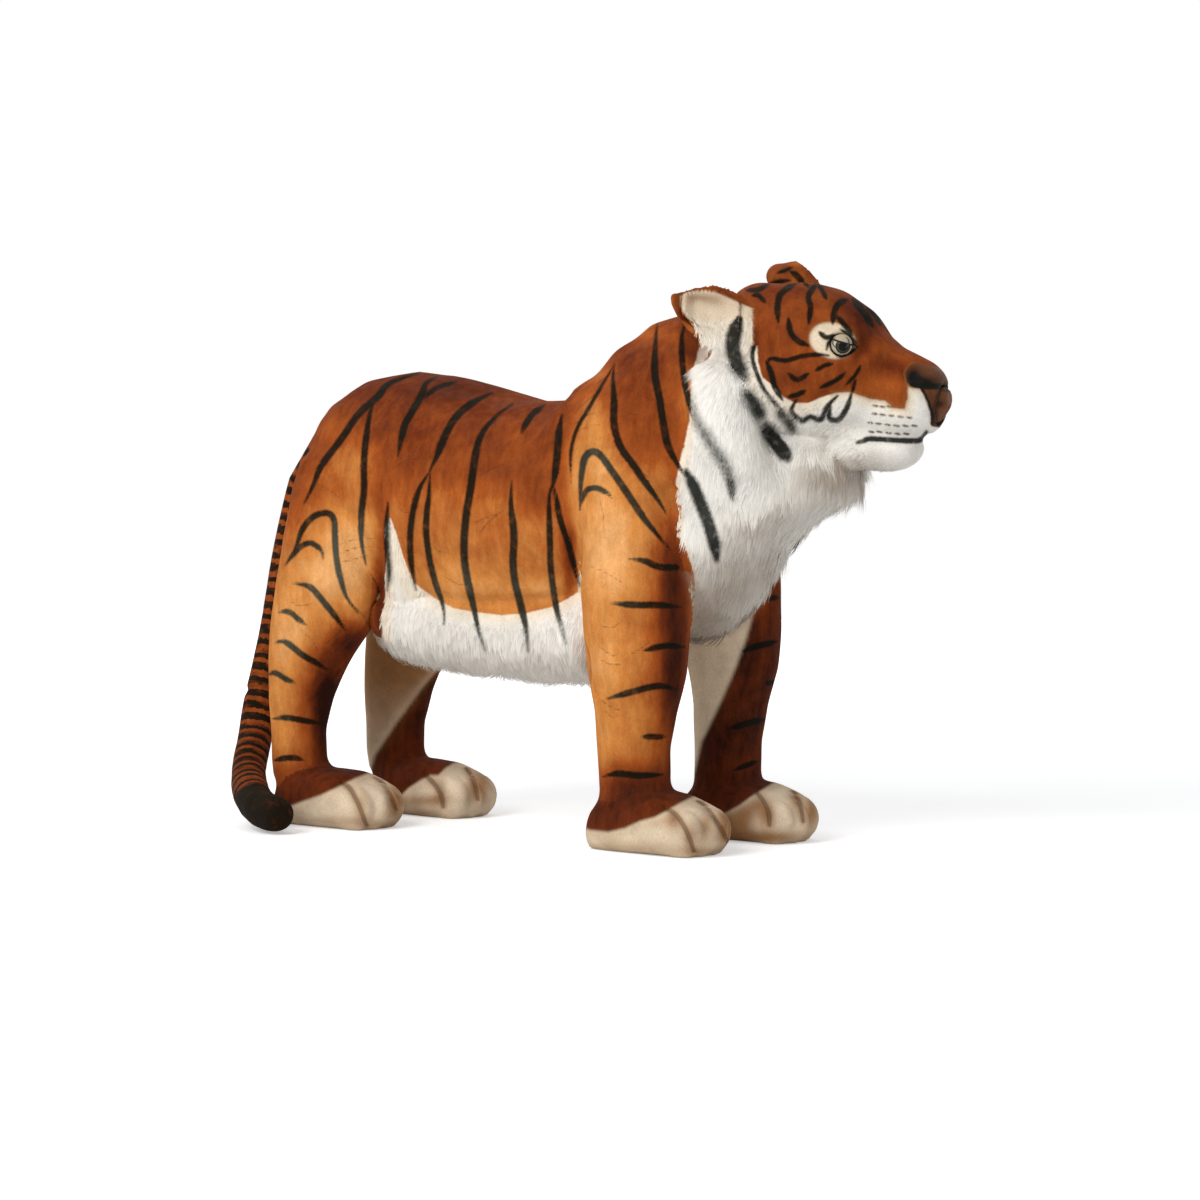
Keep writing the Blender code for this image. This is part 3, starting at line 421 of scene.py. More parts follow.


# Painted marks, placed on the photograph: half width in pixels, then the line's points
bodyStripes = (
    (3.6, ((419, 373), (389, 384), (378, 397), (359, 414), (341, 440), (322, 465), (313, 486), (304, 504))),
    (3.4, ((378, 397), (371, 410), (366, 440), (364, 464), (364, 490), (361, 519), (362, 545), (366, 565))),
    (3.2, ((285, 565), (295, 550), (302, 530), (313, 517), (326, 513), (334, 519), (335, 538), (337, 563),
           (343, 588), (348, 600), (358, 613))),
    (2.8, ((285, 565), (298, 549), (310, 543), (321, 550), (323, 559))),
    (3.2, ((293, 583), (310, 587), (321, 599), (334, 615), (345, 630))),
    (2.8, ((278, 612), (289, 612), (298, 619), (306, 625))),
    (3.2, ((274, 643), (285, 642), (302, 655), (316, 663), (327, 670))),
    (2.8, ((267, 675), (275, 673), (285, 679), (295, 683))),
    (3.0, ((272, 719), (287, 718), (304, 721), (321, 724))),
    (3.0, ((273, 761), (289, 758), (304, 761))),
    (3.0, ((388, 502), (387, 519), (387, 545), (389, 573), (387, 591))),
    (3.6, ((437, 377), (426, 384), (422, 395), (411, 414), (404, 428), (398, 456))),
    (2.4, ((457, 382), (437, 388), (424, 399))),
    (3.8, ((493, 393), (476, 401), (459, 414), (448, 430), (437, 456), (430, 471))),
    (3.2, ((430, 471), (419, 490), (412, 517), (410, 545), (412, 569), (416, 589))),
    (3.2, ((430, 471), (429, 493), (426, 526), (429, 556), (435, 582), (443, 606), (444, 624))),
    (3.9, ((513, 404), (498, 415), (483, 432), (476, 452), (471, 486), (466, 517), (464, 547), (466, 573),
           (474, 609), (479, 633), (486, 652))),
    (3.2, ((545, 405), (533, 414), (526, 424), (521, 434))),
    (3.8, ((512, 481), (511, 504), (514, 535), (513, 561), (515, 582), (521, 606), (526, 629), (528, 652))),
    (3.8, ((562, 414), (559, 433), (556, 467), (552, 490))),
    (3.2, ((552, 483), (549, 500), (550, 543), (551, 571), (556, 606), (561, 626), (566, 644))),
    (3.2, ((552, 483), (556, 496), (560, 519), (569, 546), (576, 574), (580, 586))),
    (2.0, ((615, 364), (603, 384), (589, 408), (577, 429), (571, 452), (571, 484))),
    (3.8, ((614, 365), (613, 381), (614, 402), (614, 424), (620, 446), (636, 469), (648, 486), (660, 503),
           (667, 515))),
    (3.6, ((580, 510), (581, 481), (584, 460), (591, 452), (600, 455), (614, 474), (627, 493), (643, 517),
           (655, 532), (670, 550))),
    (2.8, ((581, 505), (586, 491), (596, 488), (607, 493), (612, 498))),
    (3.8, ((657, 325), (655, 350), (655, 376), (660, 402), (663, 422), (668, 446), (679, 467), (688, 480))),
    (3.2, ((688, 318), (682, 335), (682, 360), (685, 385), (690, 405), (698, 424), (713, 448))),
)
ruffStripes = (
    (6.2, ((686, 472), (694, 487), (701, 505), (708, 522), (713, 539), (717, 560))),
    (4.4, ((698, 424), (713, 448), (722, 462), (729, 478), (732, 492), (733, 500))),
    (7.4, ((739, 320), (733, 338), (733, 352), (738, 366), (745, 379))),
    (7.0, ((744, 393), (753, 403), (762, 418))),
    (7.6, ((765, 425), (772, 438), (780, 448), (788, 459))),
    (5.0, ((778, 412), (786, 420), (794, 432))),
)
legStripes = (
    (3.4, ((629, 559), (645, 561), (660, 567), (688, 568), (696, 577))),
    (3.4, ((610, 603), (636, 605), (658, 605), (681, 607))),
    (3.2, ((643, 651), (664, 646), (685, 647))),
    (3.4, ((607, 699), (632, 692), (658, 686), (678, 690))),
    (3.0, ((641, 737), (666, 737))),
    (3.4, ((603, 777), (618, 774), (638, 776), (663, 775))),
)
farLegStripes = (
    (2.8, ((765, 599), (779, 597))),
    (3.2, ((742, 652), (755, 647), (778, 641))),
    (2.6, ((765, 684), (775, 682))),
    (3.2, ((729, 729), (746, 724), (766, 719))),
    (2.8, ((733, 772), (758, 761))),
    (2.8, ((727, 789), (749, 781))),
)
faceMarks = (
    (3.2, ((778, 322), (777, 308), (780, 295), (790, 287), (797, 282))),
    (3.0, ((808, 324), (810, 308), (808, 297), (813, 288), (817, 283))),
    (2.4, ((826, 300), (821, 290), (817, 284))),
    (3.2, ((832, 324), (834, 312), (838, 304), (847, 300))),
    (2.8, ((836, 316), (846, 328), (852, 336))),
    (3.0, ((788, 319), (790, 332), (797, 341), (808, 346))),
    (2.4, ((767, 366), (770, 359), (785, 361), (800, 357), (815, 355), (828, 356))),
    (3.0, ((766, 362), (771, 374), (774, 386), (782, 400))),
    (2.6, ((788, 374), (797, 380), (808, 374))),
    (2.2, ((815, 371), (824, 366), (832, 364))),
    (2.4, ((820, 388), (835, 381), (845, 373))),
    (2.0, ((846, 385), (855, 375), (860, 366))),
    (2.0, ((852, 392), (855, 380))),
    (2.6, ((788, 397), (797, 395), (805, 391))),
    (2.8, ((796, 400), (791, 411), (797, 418), (803, 421), (810, 417), (820, 420), (826, 409), (832, 401),
           (837, 396))),
    (2.8, ((830, 404), (829, 418), (838, 420), (845, 411), (848, 404), (851, 394))),
    (2.2, ((751, 316), (751, 330), (754, 342), (752, 358), (757, 375), (765, 392), (776, 405), (788, 417))),
    (2.6, ((746, 291), (758, 290), (768, 285))),
    (2.4, ((765, 303), (758, 296), (752, 296))),
    (2.2, ((796, 268), (801, 278), (808, 288))),
    (3.4, ((852, 300), (862, 312), (872, 327))),
    (3.0, ((864, 300), (873, 312), (880, 325))),
)
eyeMarks = (
    (2.6, ((819, 333), (826, 338), (834, 336))),
    (1.9, ((826, 350), (829, 342), (837, 336), (847, 338), (857, 348))),
    (1.6, ((832, 351), (840, 357), (850, 353), (857, 347))),
    (1.8, ((840, 330), (848, 335), (856, 344))),
)
muzzleLines = (
    (2.8, ((857, 443), (863, 441), (870, 439), (890, 440), (908, 441), (920, 440), (926, 432))),
    (2.6, ((914, 386), (926, 387), (938, 387), (949, 388))),
    (1.5, ((920, 387), (925, 396), (929, 406), (932, 417), (931, 424))),
)
whiskerDots = {"half": 0.95, "long": 2.6, "rows": (
    ((875, 406), (882, 407), (889, 407)),
    ((874, 414), (882, 415), (891, 416), (900, 417), (909, 418)),
    ((870, 423), (878, 424), (887, 425), (896, 426), (905, 426), (914, 426)),
    ((871, 432), (879, 432), (888, 433), (897, 434), (906, 434)),
)}

# Zone borders in the same pixels. Beyond each one the coat is white or cream
ruffEdge = (
    (318, 706), (335, 704), (350, 698), (365, 694), (380, 692), (400, 690), (420, 689), (440, 685),
    (455, 681), (465, 679), (480, 676), (495, 670), (508, 667), (520, 669), (535, 677), (548, 684),
    (562, 690), (580, 693), (640, 694),
)
flankWhite = (
    (388, 516), (391, 519), (397, 535), (403, 556), (409, 572), (415, 583), (421, 588), (435, 598),
    (453, 608), (476, 612), (501, 615), (526, 613), (551, 607), (567, 599), (578, 592), (579, 560),
    (577, 545), (583, 540), (640, 560), (760, 590), (760, 740), (340, 740), (366, 690), (380, 650),
    (385, 600), (387, 550),
)
faceOrange = (
    (748, 316), (757, 345), (758, 362), (762, 377), (775, 388), (783, 397), (795, 403), (808, 403),
    (822, 397), (835, 393), (848, 392), (858, 395), (870, 399), (885, 401), (893, 408), (904, 409),
    (907, 398), (907, 386), (912, 388), (960, 388), (975, 330), (880, 250), (800, 240), (690, 262),
    (690, 300), (730, 306),
)
eyePatch = {"middle": (832, 341), "reach": (23.5, 18), "turn": 14}
noseHide = (
    (905, 372), (909, 366), (916, 363), (926, 365), (938, 368), (953, 374), (960, 390), (956, 412),
    (944, 428), (931, 426), (930, 410), (925, 397), (919, 388), (911, 387), (906, 382),
)
# Dark patches on the nose leather: its black line, and painted shade in the nostril and along the leather's
# edges. Pixels across and down, spread across and down, and how much
noseShade = (
    (913, 377, 9, 10, 1.15), (924, 382, 11, 5, 0.9), (940, 380, 12, 8, 0.35), (929, 398, 5, 10, 0.5),
    (934, 418, 6, 8, 0.5),
    (945, 404, 5, 14, 0.25), (926, 386, 19, 2.0, 0.9),
)

# Paws: where the orange ends and the stitched creases between the toes, on the paws' near and far sides
pawEdgeNear = ((240, 808), (290, 807), (300, 803), (320, 796), (335, 789), (345, 784), (355, 779), (368, 774),
               (384, 770), (410, 762), (590, 831), (608, 833), (625, 829), (640, 822), (655, 818), (668, 811),
               (680, 804), (690, 799), (702, 794), (740, 780))
pawEdgeFar = ((380, 800), (400, 797), (408, 789), (420, 781), (430, 776), (438, 776), (445, 769), (453, 764),
              (462, 760), (490, 750), (700, 826), (726, 814), (740, 806), (752, 797), (765, 789),
              (775, 783), (790, 779),
              (820, 770))
pawSeamsNear = (
    (0.9, ((342, 783), (350, 789), (357, 803), (362, 815), (366, 826))),
    (0.9, ((368, 772), (381, 782), (390, 795), (396, 810))),
    (0.9, ((666, 808), (676, 815), (685, 828), (691, 842), (694, 852))),
    (0.9, ((694, 798), (706, 807), (717, 822), (725, 836), (730, 848))),
)
pawSeamsFar = (
    (0.9, ((426, 776), (435, 786), (441, 797), (443, 808))),
    (0.9, ((458, 759), (468, 771), (475, 785), (478, 800))),
    (0.9, ((757, 793), (764, 802), (769, 814), (770, 826))),
    (0.9, ((784, 781), (794, 792), (801, 806), (804, 822))),
)
# Airbrushed brown on the paws, with painted shade along their bottoms: pixels across and down, how far it spreads
# across and down, and how much
pawSprayAndShade = (
    (340, 822, 34, 5, 0.48), (360, 806, 7, 16, 0.73), (394, 800, 8, 22, 0.95), (328, 801, 12, 9, 0.26),
    (300, 812, 8, 10, 0.33), (380, 826, 20, 5, 0.43), (410, 802, 14, 8, 0.48), (434, 801, 20, 6, 0.78),
    (440, 790, 5, 14, 0.65), (472, 788, 8, 20, 0.78), (484, 785, 8, 22, 0.77), (420, 815, 26, 5, 0.65),
    (645, 848, 34, 6, 0.35), (656, 822, 12, 8, 0.48), (674, 820, 8, 12, 0.87), (690, 836, 8, 14, 0.77),
    (706, 826, 7, 16, 0.78), (724, 826, 8, 24, 0.87), (610, 840, 10, 12, 0.26), (700, 852, 24, 5, 0.57),
    (744, 814, 16, 14, 0.87), (768, 816, 8, 14, 0.87), (758, 804, 8, 8, 0.54), (796, 800, 7, 16, 0.83),
    (812, 812, 8, 20, 0.95), (770, 838, 34, 7, 0.95), (740, 832, 12, 12, 0.77),
)

# Where the far legs' pale inner sides end: pixels down and across
innerEdgeHind = ((600, 480), (640, 462), (652, 452), (665, 441), (690, 420), (725, 395), (755, 375), (800, 360))
innerEdgeFront = (
    (560, 764), (580, 761), (600, 757), (640, 746), (670, 735), (700, 722), (715, 715), (742, 702),
    (800, 688),
)

# Fabric creases where the cover folds and where it is sewn: each is sunk a little into the cover and darkened
# with painted shade
wrinkles = (
    (0.5, ((478, 478), (490, 470), (505, 464))), (0.6, ((479, 534), (490, 521), (505, 509))),
    (0.4, ((472, 524), (488, 517), (500, 514))), (0.5, ((340, 545), (355, 540), (374, 539))),
    (0.6, ((341, 553), (357, 548), (374, 547))), (0.5, ((338, 563), (352, 560), (368, 556))),
    (0.5, ((314, 483), (328, 489), (340, 498))), (0.5, ((574, 425), (588, 415), (606, 412))),
    (0.4, ((572, 436), (585, 428), (600, 425))), (0.6, ((574, 414), (588, 400), (602, 391))),
    (0.5, ((596, 384), (610, 376), (622, 373))), (0.6, ((598, 645), (606, 652), (618, 658))),
    (0.5, ((602, 661), (612, 665), (622, 664))), (0.5, ((628, 656), (641, 649), (652, 640))),
    (0.6, ((600, 699), (610, 707), (624, 712))), (0.5, ((604, 711), (612, 717), (618, 716))),
    (0.5, ((590, 566), (606, 573), (624, 584))), (0.5, ((598, 625), (612, 628), (624, 620))),
    (0.6, ((330, 656), (345, 646), (358, 630))), (0.6, ((324, 646), (338, 634), (346, 624))),
    (0.6, ((350, 604), (361, 613), (370, 627))), (0.5, ((562, 400), (568, 410), (570, 424))),
    (0.5, ((600, 500), (604, 520), (603, 540))), (0.5, ((660, 560), (668, 580), (672, 604))),
    (0.5, ((585, 640), (590, 660), (591, 684))), (0.4, ((392, 470), (404, 462), (420, 458))),
    (0.4, ((396, 505), (404, 512), (415, 514))), (0.4, ((432, 546), (440, 552), (452, 554))),
    (0.4, ((446, 578), (458, 584), (470, 585))), (0.5, ((530, 520), (538, 530), (541, 545))),
    (0.4, ((620, 410), (632, 415), (645, 413))), (0.4, ((640, 395), (650, 400), (662, 399))),
    (0.5, ((286, 600), (300, 606), (312, 604))), (0.5, ((300, 630), (312, 640), (318, 652))),
)

# Airbrushed tone with painted light and shade, lighter where the thigh and shoulder face the lamps and darker on
# the legs' shaded edges, behind the legs and in the folds between parts: pixels across and down, how far it
# spreads, and how much it lightens or darkens the orange
airbrushLightAndShade = (
    # back, flank and rump
    (440, 390, 60, 14, -0.12), (350, 462, 26, 24, 0.26), (328, 424, 28, 16, 0.10), (380, 420, 16, 40, -0.04),
    (350, 545, 30, 60, 0.34), (318, 580, 26, 34, 0.22), (380, 604, 9, 50, -0.55), (382, 524, 7, 46, -0.20),
    (490, 588, 80, 14, 0.10), (440, 500, 20, 20, 0.06), (540, 498, 18, 20, -0.24), (570, 562, 7, 40, -0.42),
    (540, 590, 20, 10, 0.12), (565, 520, 10, 30, -0.14), (455, 568, 14, 10, 0.12),
    (500, 474, 30, 10, -0.08), (500, 452, 60, 20, 0.02), (455, 560, 30, 24, 0.06),
    # hind leg
    (352, 640, 18, 18, -0.60), (328, 706, 20, 60, -0.85), (298, 702, 12, 40, -0.12),
    (282, 690, 12, 74, 0.14), (325, 786, 54, 20, -0.56),
    (290, 640, 22, 26, 0.14), (276, 760, 8, 20, -0.1),
    # neck, shoulder and front leg
    (592, 425, 20, 40, 0.40), (602, 374, 22, 12, 0.22), (645, 405, 20, 46, 0.02), (688, 400, 12, 60, 0.20),
    (668, 372, 18, 30, 0.08),
    (650, 335, 22, 12, 0.18), (598, 468, 18, 20, 0.22), (612, 540, 36, 66, 0.34), (656, 470, 18, 24, 0.12),
    (674, 650, 16, 110, -0.70), (604, 680, 22, 70, 0.10), (645, 620, 22, 44, -0.14),
    (634, 786, 46, 22, -0.56), (640, 820, 64, 18, -0.56),
    (668, 560, 10, 40, -0.12), (574, 480, 6, 40, 0.20),
    # face
    (888, 366, 14, 10, -0.09),
    (866, 316, 18, 20, -0.26), (905, 374, 10, 10, -0.16), (888, 366, 18, 10, -0.12),
    (800, 283, 40, 16, -0.06), (886, 384, 18, 12, 0.06),
    (872, 362, 14, 8, 0.05), (828, 312, 10, 10, 0.06), (845, 305, 14, 8, -0.10), (860, 345, 8, 12, -0.14),
)
# Painted shadow on the white fur, under the head, on the chest and under the belly: pixels across and down, how
# far it spreads across and down, and how much
ruffShadowing = (
    (750, 509, 18, 8, 0.60), (715, 612, 40, 70, 0.62), (745, 560, 36, 42, 0.50), (820, 472, 50, 18, 0.40),
    (690, 640, 30, 60, 0.5), (835, 462, 34, 14, 0.56), (790, 500, 30, 20, 0.34), (776, 540, 14, 30, 0.30),
    (870, 470, 30, 10, 0.2), (880, 432, 40, 16, 0.14), (890, 458, 24, 10, 0.10), (500, 655, 140, 20, 0.26),
    (430, 625, 50, 22, 0.20), (530, 632, 50, 16, 0.05),
)
earInside = (
    (680, 297), (686, 293), (703, 291), (715, 293), (727, 298), (740, 304), (752, 309), (752, 352),
    (704, 352), (701, 340), (694, 328), (686, 317), (680, 307),
)
# Painted shadow under the near ear's rolled rim: pixels across and down, how far it spreads across and down, and
# how much
earRimShadow = ((700, 298, 18, 4, 0.55), (690, 302, 6, 6, 0.30), (716, 303, 10, 5, 0.35), (735, 307, 8, 4, 0.15))
earMarks = (
    (3.2, ((790, 272), (797, 277), (804, 286))), (2.4, ((764, 288), (776, 283), (790, 281))),
    (1.8, ((745, 292), (754, 290), (762, 289))), (2.0, ((776, 274), (785, 271), (792, 268))),
)


def smoothLine(points, steps=4):
    # A rounded curve through the given points
    knots = np.array(points, float)
    if len(knots) < 3:
        return knots
    padded = np.vstack([2 * knots[0] - knots[1], knots, 2 * knots[-1] - knots[-2]])
    made = []
    for before, start, end, after in zip(padded, padded[1:], padded[2:], padded[3:]):
        for t in np.arange(steps) / steps:
            leave = (end - before) / 2
            arrive = (after - start) / 2
            made.append(start * (2 * t**3 - 3 * t**2 + 1) + leave * (t**3 - 2 * t**2 + t)
                        + end * (3 * t**2 - 2 * t**3) + arrive * (t**3 - t**2))
    made.append(knots[-1])
    return np.array(made)


def segmentReach(spots, start, end):
    run = end - start
    share = np.clip(((spots - start) @ run) / max(run @ run, 1e-9), 0, 1)
    return np.hypot(*(spots - start - share[:, None] * run).T), share


def strokeGap(spots, strokes, blunt=0.22):
    # Distance in pixels to the edge of the nearest tapered stroke, negative inside it
    gap = np.full(len(spots), 60.0)
    for half, points in strokes:
        line = smoothLine(points)
        lengths = np.hypot(*np.diff(line, axis=0).T)
        passed = np.concatenate([[0], np.cumsum(lengths)]) / lengths.sum()
        near = np.all((spots > line.min(0) - 40) & (spots < line.max(0) + 40), axis=1)
        if not near.any():
            continue
        close = spots[near]
        best = gap[near]
        for start, end, low, high in zip(line, line[1:], passed, passed[1:]):
            reach, share = segmentReach(close, start, end)
            place = low + (high - low) * share
            width = half * np.minimum(1, blunt + 3.2 * np.minimum(place, 1 - place))
            best = np.minimum(best, reach - width)
        gap[near] = best
    return gap


def polygonGap(spots, corners):
    # Distance to the outline in pixels, negative inside
    corners = np.array(corners, float)
    gap = np.full(len(spots), 1e9)
    inside = np.zeros(len(spots), bool)
    for start, end in zip(corners, np.roll(corners, -1, 0)):
        gap = np.minimum(gap, segmentReach(spots, start, end)[0])
        crosses = (start[1] > spots[:, 1]) != (end[1] > spots[:, 1])
        slope = (end[0] - start[0]) / ((end[1] - start[1]) or 1e-9)
        inside ^= crosses & (spots[:, 0] < start[0] + slope * (spots[:, 1] - start[1]))
    return np.where(inside, -gap, gap)


def toneAt(spots, patches):
    total = np.zeros(len(spots))
    for across, down, wide, high, amount in patches:
        offset = (spots - np.array((across, down))) / np.array((wide, high))
        total += amount * np.exp(-(offset**2).sum(1))
    return total


def soften(value, low, high):
    share = np.clip((value - low) / (high - low), 0, 1)
    return share * share * (3 - 2 * share)


headPivot = np.array(halves["headPivot"])
headTurn = math.radians(halves["headTurn"])
headAhead = np.array((math.cos(headTurn), math.sin(headTurn), 0.0))
headLeft = np.array((-math.sin(headTurn), math.cos(headTurn), 0.0))


def mirrored(points, normals, onHead):
    # The same place on the tiger's other side
    middle = np.array((0, halves["bodyY"], 0))
    flat = points * (1, -1, 1) + 2 * middle
    flatNormals = normals * (1, -1, 1)
    if not onHead:
        return flat, flatNormals
    side = (points - headPivot) @ headLeft
    turned = points - 2 * side[:, None] * headLeft
    lean = normals @ headLeft
    return turned, normals - 2 * lean[:, None] * headLeft


def photoSpots(points, normals, onHead=False):
    # Where each point shows in the photograph, or where its twin on the other side does
    towards = eyePoint - points
    towards /= np.linalg.norm(towards, axis=1)[:, None]
    facing = (normals * towards).sum(1)
    twin, twinNormals = mirrored(points, normals, onHead)
    twinFacing = (twinNormals * towards).sum(1)
    if onHead:
        rightSide = (points - headPivot) @ headLeft < 0
    else:
        rightSide = points[:, 1] < halves["bodyY"]
    own = (facing > 0.02) | ((twinFacing <= 0.02) & rightSide)
    return np.where(own[:, None], toPhoto(points), toPhoto(twin)), own, rightSide


def clearView(points, normals):
    # How squarely the photograph shows each point, or its twin
    towards = eyePoint - points
    towards /= np.linalg.norm(towards, axis=1)[:, None]
    own = photoSpots(points, normals)[1]
    seen = np.where(own[:, None], normals, mirrored(points, normals, False)[1])
    return soften((seen * towards).sum(1), 0.10, 0.30)


def edgeBelow(spots, line):
    line = np.array(line, float)
    return spots[:, 1] - np.interp(spots[:, 0], line[:, 0], line[:, 1])


def edgeRight(spots, line):
    line = np.array(line, float)
    return spots[:, 0] - np.interp(spots[:, 1], line[:, 0], line[:, 1])


pixel = photo["metresPerPixel"]


zones = {
    "napeTrunk": 0.066,      # half the width of the orange nape on the neck and on the head
    "napeHead": 0.074,
    "thighEdge": 384,        # pixels across, left of which the rump and thigh lie
    "chestFur": 0.032,
    "bellyFur": 0.024,
    "headTone": 0.33,
    "pawTone": 0.12,
}


def blankPaint(count):
    return {
        "stripe": np.full(count, 1.0), "pale": np.full(count, -1.0), "cream": np.zeros(count),
        "tone": np.full(count, 0.5), "shade": np.zeros(count), "smoke": np.zeros(count),
        "pile": np.zeros(count), "crease": np.full(count, 1.0), "leather": np.full(count, 1.0),
    }


def trunkMarks(spots):
    return np.minimum(strokeGap(spots, bodyStripes), strokeGap(spots, ruffStripes, 0.5))


def headMarks(spots, spread=1.0):
    marks = np.minimum(strokeGap(spots, faceMarks, 0.4), strokeGap(spots, eyeMarks, 0.5))
    marks = np.minimum(marks, strokeGap(spots, [*ruffStripes, *bodyStripes[-2:]], 0.5) * spread)
    return np.minimum(marks, strokeGap(spots, muzzleLines, 0.6))


def coatTone(spots):
    # Darker along the back and lighter lower down, with the table's airbrushed tone and painted light and shade
    # added
    down = spots[:, 1]
    slant = down + 0.12 * (spots[:, 0] - 480)
    return 0.26 + 0.32 * soften(slant, 425, 545) + 0.07 * soften(down, 550, 605) + toneAt(spots, airbrushLightAndShade)


def paintTrunk(points, normals):
    # Torso, neck, chest and belly
    spots, own = photoSpots(points, normals)[:2]
    paint = blankPaint(len(points))
    flank = -polygonGap(spots, flankWhite)
    under = 70 * soften(-normals[:, 2], 0.40, 0.85) * soften(0.292 - points[:, 2], 0.0, 0.015) - 12
    between = 1 - soften(np.abs(points[:, 1] - halves["bodyY"]), 0.045, 0.07)
    between = between * soften(0.350 - points[:, 2], 0.0, 0.02)
    onThigh = spots[:, 0] < zones["thighEdge"]
    under = np.where(onThigh, 70 * between - 12, under)
    flank = np.maximum(flank, under)
    ruff = np.where(spots[:, 1] > 318, edgeRight(spots, ruffEdge), -60)
    level = soften(normals[:, 2], -0.10, 0.25) * (points[:, 2] > 0.53) * (1 - clearView(points, normals))
    nape = (np.abs(points[:, 1] - halves["bodyY"]) - zones["napeTrunk"]) / pixel
    ruff = np.minimum(ruff, nape + 300 * (1 - level))
    pale = np.maximum(flank, ruff)
    paint["pale"] = pale * pixel
    low = ((points[:, 2] < 0.30) & (normals[:, 2] < -0.75)) | (onThigh & (under > -8))
    paint["stripe"] = np.where(low, 1.0, trunkMarks(spots) * pixel)
    # Painted shade darkens the fabric's folds
    paint["crease"] = strokeGap(spots, wrinkles, 0.3) * pixel + 0.0013
    paint["tone"] = coatTone(spots)
    # Painted shadow greys the white fur under the head, on the chest and under the belly
    paint["smoke"] = np.clip(toneAt(spots, ruffShadowing), 0, 0.9) * (pale > 0)
    wedge = soften(425 - spots[:, 0], 0, 20)
    grown = 0.30 + 0.70 * np.maximum(soften(pale, 3, 24), 0.8 * wedge)
    furLength = np.where(ruff > flank, zones["chestFur"], zones["bellyFur"]) * grown
    smooth = soften(spots[:, 1], 560, 610) * (spots[:, 0] > 690) * own
    paint["pile"] = np.where(pale > np.where(ruff > flank, 5, 0), furLength * (1 - 0.6 * smooth), 0)
    return paint


def paintLeg(points, normals):
    spots, own, rightSide = photoSpots(points, normals)
    outerView = own == rightSide
    paint = blankPaint(len(points))
    near = np.minimum(strokeGap(spots, bodyStripes), strokeGap(spots, legStripes))
    far = strokeGap(spots, farLegStripes)
    paint["stripe"] = np.where(outerView, near, far) * pixel
    # Painted shade darkens the fabric's folds on the outer side
    paint["crease"] = np.where(outerView, strokeGap(spots, wrinkles, 0.3) * pixel + 0.0013, 1.0)
    front = points[:, 0] > 0
    inner = -np.where(front, edgeRight(spots, innerEdgeFront), edgeRight(spots, innerEdgeHind))
    paint["cream"] = np.where(outerView, 0, soften(inner, -3, 4))
    # On the far legs' inner sides, painted shade greys and browns the cream, most high on the hind leg under the
    # body, and keeps the orange there dark
    paint["smoke"] = np.where(outerView, 0, soften(inner, -3, 4) * np.where(front, 0.08, 0.12))
    brown = np.where(front, 0.10, 0.46 + 0.50 * soften(points[:, 2], 0.08, 0.20))
    paint["shade"] = np.where(outerView, 0, soften(inner, -3, 4) * brown)
    paint["tone"] = np.where(outerView, coatTone(spots), 0.10 + 0.14 * soften(points[:, 2], 0.24, 0.34))
    return paint


def paintHead(points, normals):
    spots = photoSpots(points, normals, True)[0]
    paint = blankPaint(len(points))
    outside = polygonGap(spots, faceOrange)
    outside = np.where(spots[:, 1] > 342, np.minimum(outside, edgeRight(spots, ruffEdge)), outside)
    # The nape stays orange between the ears
    level = np.maximum(soften(normals[:, 2], 0.0, 0.3), soften(-(normals @ headAhead), 0.2, 0.5))
    level = level * (points[:, 2] > 0.56) * ((points - headPivot) @ headAhead < 0.10)
    nape = (np.abs((points - headPivot) @ headLeft) - zones["napeHead"]) / pixel
    outside = np.minimum(outside, nape + 300 * (1 - level))
    paint["pale"] = outside * pixel
    paint["leather"] = polygonGap(spots, noseHide) * pixel
    turn = math.radians(eyePatch["turn"])
    offset = spots - np.array(eyePatch["middle"])
    turned = np.stack([offset[:, 0] * math.cos(turn) + offset[:, 1] * math.sin(turn),
                       -offset[:, 0] * math.sin(turn) + offset[:, 1] * math.cos(turn)], 1)
    oval = np.hypot(*(turned / np.array(eyePatch["reach"])).T)
    paint["cream"] = 1 - soften(oval, 0.93, 1.06)
    paint["stripe"] = np.minimum(headMarks(spots), dashGap(spots, whiskerDots)) * pixel
    paint["tone"] = zones["headTone"] + toneAt(spots, airbrushLightAndShade)
    edge = 0.45 * np.exp(-((outside / 3.0) ** 2)) * (spots[:, 0] > 830)
    brown = 0.35 * np.exp(-(((oval - 1.0) / 0.10) ** 2))
    low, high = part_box("nose")
    hide = np.where(paint["leather"] < 0.003, np.clip(toneAt(spots, noseShade), 0, 1), 0)
    # Painted shade darkens the leather round the nose, where it meets the muzzle
    noseMiddle = (low + high) / 2
    fromNose = np.hypot((points - noseMiddle) @ headLeft, points[:, 2] - noseMiddle[2])
    hide = np.maximum(hide, 0.7 * np.exp(-(((fromNose - 0.0245) / 0.005) ** 2)) * (paint["leather"] < 0.001))
    paint["shade"] = np.maximum(np.maximum(edge, brown), hide)
    # Painted shadow greys the white fur on the throat and under the chin and muzzle
    paint["smoke"] = np.clip(toneAt(spots, ruffShadowing), 0, 0.8) * (outside > 0)
    across, down = spots.T
    long = np.maximum(1 - soften(across, 762, 850), soften(down, 424, 440) * (1 - soften(across, 835, 875)))
    paint["pile"] = np.where(outside > 2.5, 0.004 + 0.021 * long * soften(outside, 1, 12), 0.0)
    clear = (paint["leather"] < 0.008) | (spots[:, 0] > 896)
    paint["pile"] = np.where(clear, 0, paint["pile"])
    return paint


